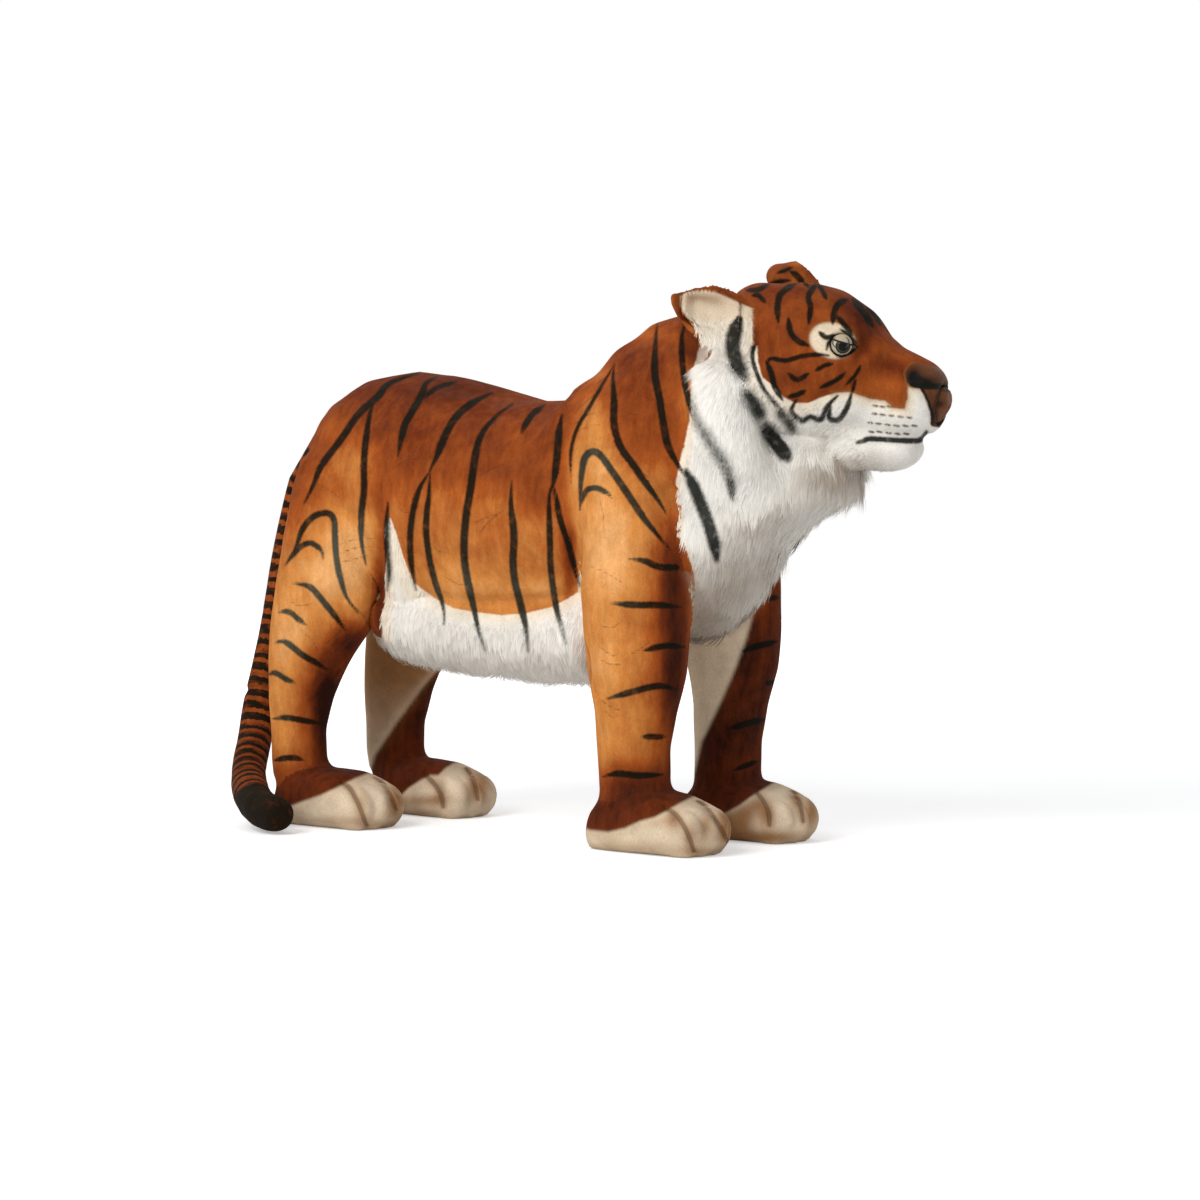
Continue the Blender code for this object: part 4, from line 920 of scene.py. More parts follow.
def pawCreases(points, normals):
    # Each point's spot, whether it lies on the outer side, and how far it is from the nearest stitched crease
    spots, own, rightSide = photoSpots(points, normals)
    outerView = own == rightSide
    seams = np.where(outerView, strokeGap(spots, pawSeamsNear, 0.6), strokeGap(spots, pawSeamsFar, 0.6))
    return spots, outerView, seams + pawForms["seamFade"] * (1 - clearView(points, normals))


def paintPaw(points, normals):
    spots, outerView, seams = pawCreases(points, normals)
    paint = blankPaint(len(points))
    below = np.where(outerView, edgeBelow(spots, pawEdgeNear), edgeBelow(spots, pawEdgeFar))
    paint["cream"] = np.where(points[:, 2] < 0.006, 1.0, soften(below, -2.5, 2.5))
    paint["crease"] = seams * pixel
    # Brown on the paw: airbrushed on the toes and along the orange border, with painted shade in the stitched
    # creases and towards the sole
    shade = np.maximum(toneAt(spots, pawSprayAndShade), 0.60 * np.exp(-((np.maximum(seams, 0) / 4.5) ** 2)))
    shade = np.maximum(shade, 0.34 * np.exp(-(((below - 2) / 5.0) ** 2)))
    shade = np.maximum(shade, 0.30 * np.exp(-((points[:, 2] / 0.006) ** 2)))
    paint["shade"] = np.clip(shade, 0, 0.92) * paint["cream"]
    paint["tone"] = np.full(len(points), zones["pawTone"])
    return paint


def dashGap(spots, dashes):
    rows = [(dashes["half"], ((across - dashes["long"], down - 0.4), (across + dashes["long"], down + 0.4)))
            for row in dashes["rows"] for across, down in row]
    return strokeGap(spots, rows, 0.5)


headNodes = ("head", "muzzle", "chin", "cheek_tuft_left", "cheek_tuft_right")


# Sewn cover: the stuffed solids are joined, smoothed into one skin and cut back into pieces along the seams
cover = {
    "voxel": 0.0034,
    "smoothRounds": 16,
    "swell": 0.0012,        # how far the stuffing swells the cover in and out
    "swellScale": 16.0,
    "seamSpread": 36,       # how far from a seam the skin is evened, and how long
    "seamRounds": 40,
    "pieces": {
        # node: name of the cover, stuffing from slack to tight
        "torso": ("torsoCover", 0.8), "neck": ("neckCover", 0.8), "head": ("headCover", 0.9),
        "muzzle": ("muzzleCover", 0.9), "chin": ("chinCover", 0.8), "chest_ruff": ("chestSkin", 0.6),
        "belly_fur": ("bellySkin", 0.6), "cheek_tuft_left": ("cheekSkinLeft", 0.6),
        "cheek_tuft_right": ("cheekSkinRight", 0.6), "front_leg_left": ("frontLegCoverLeft", 0.9),
        "front_leg_right": ("frontLegCoverRight", 0.9), "hind_leg_left": ("hindLegCoverLeft", 0.9),
        "hind_leg_right": ("hindLegCoverRight", 0.9),
    },
    "fine": ("head", "muzzle", "chin"),
    "slots": {"chin": "white_pile", "chest_ruff": "white_pile", "belly_fur": "white_pile",
              "cheek_tuft_left": "white_pile", "cheek_tuft_right": "white_pile"},
}


def meshFrom(bm, name):
    mesh = bpy.data.meshes.new(name)
    bm.to_mesh(mesh)
    bm.free()
    return mesh


def mergedNodes(names):
    bm = bmesh.new()
    for name in names:
        bm.from_mesh(nodes[name].data)
    bmesh.ops.remove_doubles(bm, verts=bm.verts, dist=0.00001)
    return bm


def finishedMesh(item):
    graph = bpy.context.evaluated_depsgraph_get()
    mesh = bpy.data.meshes.new_from_object(item.evaluated_get(graph))
    bpy.data.objects.remove(item)
    return mesh


def remeshed(bm, name, voxel, rounds, factor=0.5):
    item = link(bpy.data.objects.new(name, meshFrom(bm, name)))
    step = item.modifiers.new("cloth", "REMESH")
    step.mode = "VOXEL"
    step.voxel_size = voxel
    even = item.modifiers.new("even", "SMOOTH")
    even.factor = factor
    even.iterations = rounds
    return finishedMesh(item)


def keepLargest(mesh):
    bm = bmesh.new()
    bm.from_mesh(mesh)
    bm.verts.ensure_lookup_table()
    left = set(bm.verts)
    best = set()
    while left:
        seed = next(iter(left))
        island = {seed}
        edge = [seed]
        while edge:
            vert = edge.pop()
            for join in vert.link_edges:
                other = join.other_vert(vert)
                if other not in island:
                    island.add(other)
                    edge.append(other)
        left -= island
        if len(island) > len(best):
            best = island
    bmesh.ops.delete(bm, geom=[vert for vert in bm.verts if vert not in best], context="VERTS")
    return bm


def readAll(items, key, wide=1, kind=np.int32):
    # One number, or a row of them, from each item
    values = np.empty(len(items) * wide, kind)
    items.foreach_get(key, values)
    return values.reshape(-1, wide) if wide > 1 else values


def pointsOf(mesh):
    return [readAll(mesh.vertices, key, 3, np.float32).astype(float) for key in ("co", "normal")]


def setNumbers(mesh, paint):
    for name, values in paint.items():
        layer = mesh.attributes.get(name) or mesh.attributes.new(name, "FLOAT", "POINT")
        layer.data.foreach_set("value", np.asarray(values, np.float32))


def nearestNode(names):
    # One search tree over all the named solids, and the solid that each face belongs to
    corners, faces, owners = [], [], []
    for name in names:
        mesh = nodes[name].data
        base = len(corners)
        corners += [vert.co.copy() for vert in mesh.vertices]
        for face in mesh.polygons:
            faces.append([base + index for index in face.vertices])
            owners.append(name)
    return BVHTree.FromPolygons(corners, faces), owners


frameNodes = sorted(
    name for name in nodes if name.endswith(("_tube", "_bar")) or "_rod_" in name or "_plate_" in name
)
pawNodes = sorted(name for name in nodes if "_paw_" in name)


def faceOwners(bm, names):
    # The solid that each face lies nearest to, evened out so that the seams run clean
    tree, owners = nearestNode(names)
    bm.faces.ensure_lookup_table()
    labels = [owners[tree.find_nearest(face.calc_center_median())[2]] for face in bm.faces]
    bm.faces.index_update()
    rings = [[other.index for edge in face.edges for other in edge.link_faces if other is not face]
             for face in bm.faces]
    for _ in range(6):
        labels = [
            max(near := [labels[index] for index in ring] + [labels[place]], key=near.count)
            for place, ring in enumerate(rings)
        ]
    return labels


def swellSkin(bm):
    bm.normal_update()
    moves = [vert.normal * (cover["swell"] * noise.noise(vert.co * cover["swellScale"])) for vert in bm.verts]
    for vert, move in zip(bm.verts, moves):
        vert.co += move


def movePoints(mesh, points):
    mesh.vertices.foreach_set("co", points.astype(np.float32).ravel())
    mesh.update()


# How the head and body are stuffed and stitched: pixels across and down, spread across and down, metres out
headForms = (
    (841, 346, 15, 12, -0.0045), (836, 324, 16, 7, 0.0035), (852, 334, 9, 6, 0.0030),
    (838, 366, 16, 7, 0.0020),
    (862, 352, 9, 9, -0.0035), (800, 385, 24, 18, 0.0030), (892, 418, 22, 15, 0.0040),
    (885, 372, 16, 10, -0.0020),
    (914, 376, 8, 7, -0.0045), (906, 364, 8, 5, 0.0020), (775, 320, 18, 20, -0.0020),
    (780, 430, 20, 16, -0.0020), (758, 290, 18, 8, 0.0060),
    (836, 446, 14, 16, -0.0085), (852, 462, 20, 8, -0.0040), (924, 398, 6, 12, -0.0015),
)
bodyForms = (
    (572, 470, 8, 46, -0.0050), (576, 550, 8, 46, -0.0050), (640, 470, 34, 60, 0.0040),
    (386, 560, 7, 60, -0.0040), (403, 578, 16, 20, 0.0050), (406, 592, 24, 9, 0.0050),
    (350, 540, 30, 70, 0.0030), (480, 540, 60, 50, 0.0025), (485, 588, 80, 15, 0.0110),
    (560, 392, 30, 12, -0.0050), (600, 372, 30, 16, -0.0060),
    (640, 340, 20, 14, -0.0040), (515, 396, 44, 12, -0.0045), (302, 444, 10, 16, 0.0020),
    (835, 490, 40, 12, -0.0080),
    (792, 530, 14, 34, -0.0080), (776, 560, 10, 20, -0.0060),
)
legForms = (
    # node, height of the change, its reach, metres forwards, share wider from front to back
    ("front_leg_right", 0.19, 0.10, 0.004, 0.13),
    ("front_leg_left", 0.20, 0.13, 0.011, 0.02),
    ("hind_leg_right", 0.16, 0.10, -0.003, 0.0),
    ("hind_leg_right", 0.270, 0.048, 0.009, 0.17),
    ("hind_leg_left", 0.14, 0.10, 0.0, 0.16),
)
rumpTuck = (0.42, 0.11, -0.33, -0.42, 0.023)   # height and its reach, from where to where along the body, depth
pawForms = {
    "fillRounds": 46,        # how long the toes' hollows are filled before the stitched creases are drawn in
    "plump": 0.0024,
    "seamDepth": 0.0042,
    "seamReach": 3.0,
    "seamFade": 14,
}


def headMoves(points, normals):
    spots = photoSpots(points, normals, True)[0]
    move = toneAt(spots, headForms)
    mouth = strokeGap(spots, muzzleLines[:1], 0.8)
    move -= 0.0028 * np.exp(-((np.maximum(mouth, 0) / 2.2) ** 2))
    nose = strokeGap(spots, muzzleLines[1:], 0.8)
    move -= 0.0012 * np.exp(-((np.maximum(nose, 0) / 1.8) ** 2))
    return normals * move[:, None]


def trunkMoves(points, normals):
    spots = photoSpots(points, normals)[0]
    fold = strokeGap(spots, wrinkles, 0.3)
    move = toneAt(spots, bodyForms) - 0.0008 * np.exp(-((np.maximum(fold, 0) / 3.0) ** 2))
    return normals * move[:, None]


def pawMoves(points, normals):
    seams = pawCreases(points, normals)[2]
    pressed = np.exp(-((np.maximum(seams, 0) / pawForms["seamReach"]) ** 2))
    move = pawForms["plump"] - pawForms["seamDepth"] * pressed
    return normals * move[:, None]


skins = {}


def evened(values, pairs, rounds, weight):
    # Each round moves every value towards the middle of its neighbours
    size = len(values)
    flat = values.reshape(size, -1)
    count = np.bincount(pairs.ravel(), minlength=size)
    first, second = pairs.T
    for _ in range(rounds):
        middle = np.stack([
            np.bincount(first, column[second], size) + np.bincount(second, column[first], size)
            for column in flat.T
        ], 1) / count[:, None]
        flat = flat + (middle - flat) * np.reshape(weight, (-1, 1))
    return flat.reshape(values.shape)


def shareOf(skin, owners, wanted, pairs, rounds):
    # How much each point belongs to the wanted pieces, fading across their seams
    size = len(skin.vertices)
    corners = readAll(skin.loops, "vertex_index")
    inside = np.repeat(np.isin(owners, wanted), readAll(skin.polygons, "loop_total"))
    share = np.bincount(corners, inside, size) / np.bincount(corners, minlength=size)
    return evened(share, pairs, rounds, 0.5)


def whereAbove(share, function, points, normals, blank):
    # Runs a piece's own sculpting or painting only on the points that it touches
    chosen = share > 0.002
    made = function(points[chosen], normals[chosen])
    if isinstance(made, dict):
        whole = {key: value.copy() for key, value in blank.items()}
        for key, value in made.items():
            whole[key][chosen] = value
        return whole
    whole = np.zeros_like(points)
    whole[chosen] = made
    return whole


def splitCovers():
    names = [*cover["pieces"], *pawNodes]
    draft = remeshed(mergedNodes([*names, *frameNodes]), "draft", cover["voxel"], cover["smoothRounds"])
    bm = keepLargest(draft)
    swellSkin(bm)
    owner = bm.faces.layers.int.new("owner")
    for face, label in zip(bm.faces, faceOwners(bm, names)):
        face[owner] = names.index(label)
    fine = {names.index(name) for name in (*cover["fine"], *pawNodes)}
    edges = [edge for edge in bm.edges if any(face[owner] in fine for face in edge.link_faces)]
    bmesh.ops.subdivide_edges(bm, edges=edges, cuts=1, use_grid_fill=True)
    bm.verts.index_update()
    place = bm.verts.layers.int.new("place")
    for vert in bm.verts:
        vert[place] = vert.index
    skin = bpy.data.meshes.new("wholeSkin")
    bm.to_mesh(skin)
    print("one skin of", len(bm.faces), "faces")
    points, normals, paint = sculptSkin(skin, names)
    for vert, point in zip(bm.verts, points):
        vert.co = point
    for index, name in enumerate(names):
        piece = bm.copy()
        part = piece.faces.layers.int["owner"]
        other = [face for face in piece.faces if face[part] != index]
        bmesh.ops.delete(piece, geom=other, context="FACES")
        mesh = meshFrom(piece, name + "Skin")
        order = readAll(mesh.attributes["place"].data, "value")
        painted = {key: values[order] for key, values in paint.items()}
        skins[name] = (points[order], normals[order], trianglesOf(mesh), painted)
        finishCover(name, mesh, painted, normals[order])
    bm.free()


def sculptSkin(skin, names):
    points, normals = pointsOf(skin)
    pairs = readAll(skin.edges, "vertices", 2)
    owners = readAll(skin.attributes["owner"].data, "value")
    groups = {
        "head": [names.index(name) for name in headNodes],
        "leg": [names.index(name) for name in names if "_leg_" in name],
        "paw": [names.index(name) for name in pawNodes],
    }
    shares = {key: shareOf(skin, owners, wanted, pairs, 8) for key, wanted in groups.items()}
    shares["trunk"] = np.clip(1 - sum(shares.values()), 0, 1)
    # The stuffing rounds off the steps where one form meets the next
    first = np.full(len(points), 99.0)
    last = np.full(len(points), -1.0)
    corners = readAll(skin.loops, "vertex_index")
    around = np.repeat(owners, readAll(skin.polygons, "loop_total"))
    np.minimum.at(first, corners, around)
    np.maximum.at(last, corners, around)
    seam = evened((first != last).astype(float), pairs, cover["seamSpread"], 0.5)
    loose = soften(seam, 0.01, 0.07) * 0.5
    points = evened(points, pairs, cover["seamRounds"], loose)
    toes = 0.5 * soften(shares["paw"], 0.5, 1.0) * (points[:, 2] > 0.004)
    points = evened(points, pairs, pawForms["fillRounds"], toes)
    movePoints(skin, points)
    points, normals = pointsOf(skin)
    stages = (("trunk", trunkMoves, 14), ("leg", trunkMoves, 14), ("head", headMoves, 2), ("paw", pawMoves, 2))
    for key, function, rounds in stages:
        move = shares[key][:, None] * whereAbove(shares[key], function, points, normals, None)
        points = points + evened(move, pairs, rounds, 0.5)
    for name, height, reach, forwards, wider in legForms:
        share = shareOf(skin, owners, [names.index(name)], pairs, 8)
        band = np.exp(-(((points[:, 2] - height) / reach) ** 2)) * share
        middle = np.average(points[:, 0], weights=band)
        points[:, 0] += band * (forwards + wider * (points[:, 0] - middle))
    # The rump is drawn in beside the tail
    height, reach, back, front, depth = rumpTuck
    tuck = np.exp(-(((points[:, 2] - height) / reach) ** 2)) * soften(-points[:, 0], -back, -front)
    beside = soften(np.abs(points[:, 1] - halves["bodyY"]), 0.028, 0.075)
    points[:, 0] += tuck * depth * beside
    points = evened(points, pairs, 24, loose)
    points[:, 2] = np.maximum(points[:, 2], 0.0004)
    movePoints(skin, points)
    points, normals = pointsOf(skin)
    blank = blankPaint(len(points))
    whole = {key: 0 for key in blank}
    for key, painter in (("trunk", paintTrunk), ("leg", paintLeg), ("head", paintHead), ("paw", paintPaw)):
        made = whereAbove(shares[key], painter, points, normals, blank)
        for label, values in made.items():
            whole[label] = whole[label] + shares[key] * values
    total = sum(shares.values())
    return points, normals, {label: values / total for label, values in whole.items()}


def trianglesOf(mesh):
    mesh.calc_loop_triangles()
    return readAll(mesh.loop_triangles, "vertices", 3)


def closeRims(mesh, normals=None):
    # The cut edges are closed inside the tiger, and the cover keeps the whole skin's shading across its seams
    bm = bmesh.new()
    bm.from_mesh(mesh)
    cap = bm.faces.layers.int.new("cap")
    rims = [edge for edge in bm.edges if edge.is_boundary]
    if rims:
        made = bmesh.ops.holes_fill(bm, edges=rims, sides=0)["faces"]
        poked = bmesh.ops.poke(bm, faces=made)
        for face in poked["faces"]:
            face[cap] = 1
        for vert in poked["verts"]:
            around = [edge.other_vert(vert) for edge in vert.link_edges]
            for layer in bm.verts.layers.float.values():
                vert[layer] = sum(other[layer] for other in around) / len(around)
    bm.to_mesh(mesh)
    bm.free()
    mesh.shade_smooth()
    if normals is not None:
        corners = readAll(mesh.loops, "vertex_index")
        capped = np.repeat(readAll(mesh.attributes["cap"].data, "value"), readAll(mesh.polygons, "loop_total"))
        kept = (corners < len(normals)) & (capped == 0)
        shading = np.zeros((len(corners), 3), np.float32)
        shading[kept] = normals[corners[kept]]
        mesh.normals_split_custom_set(shading)
    for label in ("cap", "owner", "place"):
        if label in mesh.attributes:
            mesh.attributes.remove(mesh.attributes[label])


def finishCover(name, mesh, paint, normals):
    if "_leg_" in name or "_paw_" in name:
        # The coat's shades run into one another round the leg
        pairs = readAll(mesh.edges, "vertices", 2)
        rounds = 16 if "_leg_" in name else 8
        for label in ("tone", "shade"):
            paint[label] = evened(paint[label], pairs, rounds, 1.0)
    setNumbers(mesh, paint)
    closeRims(mesh, normals)
    label = cover["pieces"].get(name)
    if label is None:
        kind, _, side = name.split("_")
        label = (kind + "Paw" + side.capitalize(), 0.9)
    mesh.materials.clear()
    mesh.materials.append(shortPlush)
    item = link(bpy.data.objects.new(label[0], mesh))
    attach(item, plainBody)
    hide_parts(name)


splitCovers()
print("covers sewn")


# Long pile: thousands of narrow strands that leave the skin, bend with gravity and gather in locks
fur = {
    "seed": 7,
    "width": 0.0010,
    "lift": 0.26,
    "lockPull": 0.40,
    "tint": 0.045,
    "ragged": 0.22,
    "pieces": (
        # name, solids it grows on, strands, locks, and the way it is combed
        ("chestPile", ("chest_ruff",), 39000, 3600, (-0.12, 0.0, -1.0)),
        ("neckPile", ("neck", "torso"), 39000, 3600, (-0.26, 0.0, -0.95)),
        ("cheekPileRight", ("cheek_tuft_right",), 26000, 2200, (-0.26, 0.0, -0.95)),
        ("cheekPileLeft", ("cheek_tuft_left",), 26000, 2200, (-0.26, 0.0, -0.95)),
        ("bellyPile", ("belly_fur",), 39000, 4000, (-0.10, 0.0, -1.0)),
        ("facePile", ("head", "muzzle", "chin"), 36000, 5000, (-0.60, 0.0, -0.7)),
    ),
}


def ribbons(name, rows, tips, normals, paint, material):
    # Builds every strand as a narrow ribbon of two squares and a point
    count = len(tips)
    body = np.concatenate([rows.reshape(count, 6, 3), tips[:, None]], 1).reshape(-1, 3)
    start = np.arange(count)[:, None] * 7
    pattern = np.array([0, 1, 3, 2, 2, 3, 5, 4, 4, 5, 6])
    corners = (start + pattern).ravel()
    sizes = np.tile([4, 4, 3], count)
    mesh = bpy.data.meshes.new(name)
    mesh.vertices.add(len(body))
    mesh.vertices.foreach_set("co", body.astype(np.float32).ravel())
    mesh.loops.add(len(corners))
    mesh.loops.foreach_set("vertex_index", corners.astype(np.int32))
    mesh.polygons.add(len(sizes))
    mesh.polygons.foreach_set("loop_start", np.concatenate([[0], np.cumsum(sizes)[:-1]]).astype(np.int32))
    mesh.update()
    mesh.validate()
    setNumbers(mesh, {key: values.ravel() if values.ndim > 1 else np.repeat(values, 7)
                      for key, values in paint.items()})
    along = np.tile([0, 0, 0.4, 0.4, 0.75, 0.75, 1.0], count)
    setNumbers(mesh, {"along": along})
    mesh.shade_smooth()
    mesh.normals_split_custom_set_from_vertices(np.repeat(normals, 7, 0).astype(np.float32))
    mesh.materials.append(material)
    return link(bpy.data.objects.new(name, mesh))


def growPile(name, sources, count, locks, combed, marks=None):
    chance = np.random.default_rng(fur["seed"])
    corners, slopes, weights, values = [], [], [], {}
    for source in sources:
        points, normals, triangles, paint = skins[source]
        length = paint["pile"][triangles].mean(1)
        keep = length > 0.003
        triangles = triangles[keep]
        edges = points[triangles]
        area = np.linalg.norm(np.cross(edges[:, 1] - edges[:, 0], edges[:, 2] - edges[:, 0]), axis=1)
        corners.append(edges)
        slopes.append(normals[triangles])
        weights.append(area * (1 + 0.012 / np.maximum(length[keep], 0.005)))
        for key, array in paint.items():
            values.setdefault(key, []).append(array[triangles])
    corners, slopes, weights = np.concatenate(corners), np.concatenate(slopes), np.concatenate(weights)
    pick = chance.choice(len(weights), count, p=weights / weights.sum())
    mix = chance.random((count, 2))
    over = mix.sum(1) > 1
    mix[over] = 1 - mix[over]
    parts = np.stack([1 - mix.sum(1), mix[:, 0], mix[:, 1]], 1)
    roots = (corners[pick] * parts[:, :, None]).sum(1)
    out = (slopes[pick] * parts[:, :, None]).sum(1)
    out /= np.linalg.norm(out, axis=1)[:, None]
    paint = {key: (np.concatenate(arrays)[pick] * parts).sum(1) for key, arrays in values.items()}
    paint["pale"] = np.maximum(paint["pale"], 0.005)
    length = paint.pop("pile") * (0.75 + 0.45 * chance.random(count))
    centres = chance.choice(count, min(locks, count), replace=False)
    tree = kdtree.KDTree(len(centres))
    for order, index in enumerate(centres):
        tree.insert(roots[index], order)
    tree.balance()
    own = np.array([tree.find(root)[1] for root in roots])
    length *= (1 + fur["ragged"] * chance.normal(0, 1, len(centres)).clip(-1.5, 1.5))[own]
    wave = np.sin(roots @ np.array((61.0, 47.0, 83.0)))[:, None] * np.array((0.12, 0.12, 0.0))
    comb = np.array(combed) + wave + chance.normal(0, 0.08, (count, 3))
    flow = comb - (comb * out).sum(1)[:, None] * out
    flow /= np.linalg.norm(flow, axis=1)[:, None] + 1e-9
    lift = fur["lift"] * (0.6 + 0.8 * chance.random(count)) * (1 + 1.8 * np.clip(-out[:, 2], 0, 1) ** 2)
    shares = (0.0, 0.36, 0.70, 1.0)
    line = []
    for t in shares:
        rise = lift * (1.35 * t - 0.75 * t * t)
        line.append(roots + out * (length * rise - 0.0015)[:, None] + flow * (length * (0.96 * t))[:, None])
    pull = line[3][centres[own]] - line[3]
    reach = np.linalg.norm(pull, axis=1)
    pull *= np.minimum(1, 0.7 * length / np.maximum(reach, 1e-6))[:, None]
    for index, t in enumerate(shares):
        line[index] = line[index] + pull * (fur["lockPull"] * t * t)
    across = np.cross(flow, out)
    turn = chance.normal(0, 0.45, count)[:, None]
    blade = across * np.cos(turn) + out * np.sin(turn)
    rows = []
    for index, wide in ((0, 1.0), (1, 0.9), (2, 0.6)):
        half = blade * (fur["width"] / 2 * wide * (0.7 + 0.6 * chance.random(count)))[:, None]
        rows.append(np.stack([line[index] - half, line[index] + half], 1))
    # Sprayed marks lie across the strands, so each part of a strand takes the paint where it lies
    onHead = sources[0] in headNodes
    spray = []
    for part in line:
        spots = photoSpots(part, out, onHead)[0]
        gap = headMarks(spots, 0.38) if onHead else trunkMarks(spots)
        spray.append(gap * pixel if marks is None else marks(part, out))
    paint["stripe"] = np.stack(spray, 1)[:, [0, 0, 1, 1, 2, 2, 3]]
    lockTint = chance.normal(1.0, fur["tint"], len(centres))[own]
    paint["tint"] = lockTint * chance.normal(1.0, fur["tint"], count)
    lean = out + 0.30 * blade * chance.normal(0, 1, count)[:, None]
    lean /= np.linalg.norm(lean, axis=1)[:, None]
    item = ribbons(name, np.stack(rows, 1), line[3], lean, paint, facePile if name == "facePile" else longPile)
    # The strands cast no shadow and bounce no light, standing in for a translucent pile, so they neither darken
    # nor light each other
    item.visible_shadow = False
    item.visible_diffuse = False
    return item


for settings in fur["pieces"]:
    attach(growPile(*settings), plainBody)
print("long pile grown")


# Tail: one skin cut at its curl, ringed along its length
tail = {
    "voxel": 0.0026,
    "smoothRounds": 8,
    "ringPitch": 0.0180,
    "ringWidth": 0.0098,
    "tipFrom": 10.3,
    "bow": 0.022,
    "bowHeight": 0.36,
    "bowReach": 0.17,
    "rootHeight": 0.515,
    # The middle of the tail as the solids have it: metres back, aside and up from the rump's foot
    "rump": (-0.41785, 0.04524),
    "route": (
        (0.0, 0.0, 0.515), (-0.0176, 0.0, 0.484), (-0.0299, 0.0, 0.449), (-0.0410, 0.0, 0.400),
        (-0.0514, -0.0068, 0.335), (-0.0585, -0.0203, 0.270), (-0.0631, -0.0450, 0.205),
        (-0.0624, -0.0698, 0.155),
        (-0.0520, -0.0968, 0.105), (-0.0260, -0.1373, 0.068), (0.0205, -0.1800, 0.042),
        (0.0702, -0.2115, 0.028),
        (0.1060, -0.2250, 0.0255),
    ),
}


def tailLine():
    middle = smoothLine(tail["route"], 10)
    middle[:, 0] += tail["rump"][0]
    middle[:, 1] += tail["rump"][1]
    return middle


def paintTail(points):
    line = tailLine()
    steps = np.linalg.norm(np.diff(line, axis=0), axis=1)
    passed = np.concatenate([[0], np.cumsum(steps)])
    reach = np.linalg.norm(points[:, None] - line[None], axis=2)
    along = passed[reach.argmin(1)]
    near = line[reach.argmin(1)]
    paint = blankPaint(len(points))
    wander = np.array([noise.noise(Vector(point) * 38) for point in points]) * 0.004
    phase = (along + wander) / tail["ringPitch"]
    gap = np.abs(phase - np.round(phase)) * tail["ringPitch"]
    # Rings thin out under the tail, where the coat is paler
    under = np.clip((points - near) @ np.array((0.75, 0.25, -0.6)) / 0.02, 0, 1)
    paint["stripe"] = gap - tail["ringWidth"] / 2 * (1 - 0.3 * under)
    tip = passed[round(tail["tipFrom"] * 10)]
    paint["stripe"] = np.maximum(np.minimum(paint["stripe"], tip - along + wander), 0.026 - along)
    paint["tone"] = 0.38 + 0.16 * under - 0.12 * np.clip(along / passed[-1], 0, 1)
    return paint


def makeTail():
    names = ("tail", "tail_end", "tail_tip")
    bm = keepLargest(remeshed(mergedNodes(names), "tailDraft", tail["voxel"], tail["smoothRounds"]))
    swellSkin(bm)
    labels = faceOwners(bm, names)
    # The stuffing bows the hanging length back a little, clear of the rump
    for vert in bm.verts:
        bow = math.exp(-(((vert.co.z - tail["bowHeight"]) / tail["bowReach"]) ** 2)) * tail["bow"]
        free = min(max((tail["rootHeight"] - vert.co.z) / 0.06, 0.0), 1.0)
        vert.co -= Vector(rightWay) * (bow * free)
    line = tailLine()
    for name, label in (("tail", "tailCover"), ("tail_end", "tailEndCover"), ("tail_tip", "tailTipCover")):
        piece = bm.copy()
        piece.faces.ensure_lookup_table()
        other = [face for face, owner in zip(piece.faces, labels) if owner != name]
        bmesh.ops.delete(piece, geom=other, context="FACES")
        mesh = meshFrom(piece, label)
        setNumbers(mesh, paintTail(pointsOf(mesh)[0]))
        closeRims(mesh)
        mesh.shade_smooth()
        mesh.materials.append(shortPlush)
        item = link(bpy.data.objects.new(label, mesh))
        if name == "tail":
            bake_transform(item, plainBody, "tail", start=tuple(line[0]), end=tuple(line[20]))
        elif name == "tail_end":
            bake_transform(item, "tail", "tail_end", start=tuple(line[70]), end=tuple(line[80]))
        else:
            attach(item, "tail_end")
        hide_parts(name)
    bm.free()


makeTail()
print("tail made")


# Ears: a plush back and a pale lining, both sewn into the head at their root
ear = {
    "voxel": 0.0014,
    "smoothRounds": 8,
    "liningSwell": 0.0026,
    "rootDepth": 0.014,
    "bendLength": 0.032,
    "insideForms": ((690, 326, 10, 12, -0.0050), (700, 338, 8, 8, -0.0040), (674, 297, 5, 5, 0.0020)),
    "backForms": ((781, 274, 9, 12, 0.0130), (776, 284, 10, 10, 0.0090)),
}


def earMoves(points, normals):
    # The near ear narrows to its root, and the far one stands rounded
    spots, own, rightSide = photoSpots(points, normals, True)
    inside = own == rightSide
    move = np.where(inside, toneAt(spots, ear["insideForms"]), toneAt(spots, ear["backForms"]))
    return points + normals * move[:, None]


def paintEar(points, normals, kind):
    paint = blankPaint(len(points))
    spots, own, rightSide = photoSpots(points, normals, True)
    inside = (own == rightSide) & (("lining" in kind) | (normals @ headAhead > -0.15))
    paint["tone"] = 0.36 + 0.16 * np.array([noise.noise(Vector(point) * 45) for point in points])
    gap = polygonGap(spots, earInside)
    paint["cream"] = np.where(inside, 1 - soften(gap, -1.2, 1.2), 0)
    paint["pale"] = np.where(inside, np.minimum(-gap, (spots[:, 1] - 320) * 0.6), -60) * pixel
    # Painted shadow under the near ear's rim, over a faint brown
    paint["shade"] = np.where(inside, 0.06 + toneAt(spots, earRimShadow), 0.1)
    paint["stripe"] = np.where(inside, strokeGap(spots, ruffStripes, 0.5), strokeGap(spots, earMarks)) * pixel
    grows = inside & (gap < -2) & (spots[:, 1] > 304)
    paint["pile"] = np.where(grows, 0.004 + 0.016 * soften(spots[:, 1], 304, 336), 0)
    return paint


def earTuftMarks(points, out):
    return strokeGap(photoSpots(points, out, True)[0], ruffStripes, 0.5) * pixel


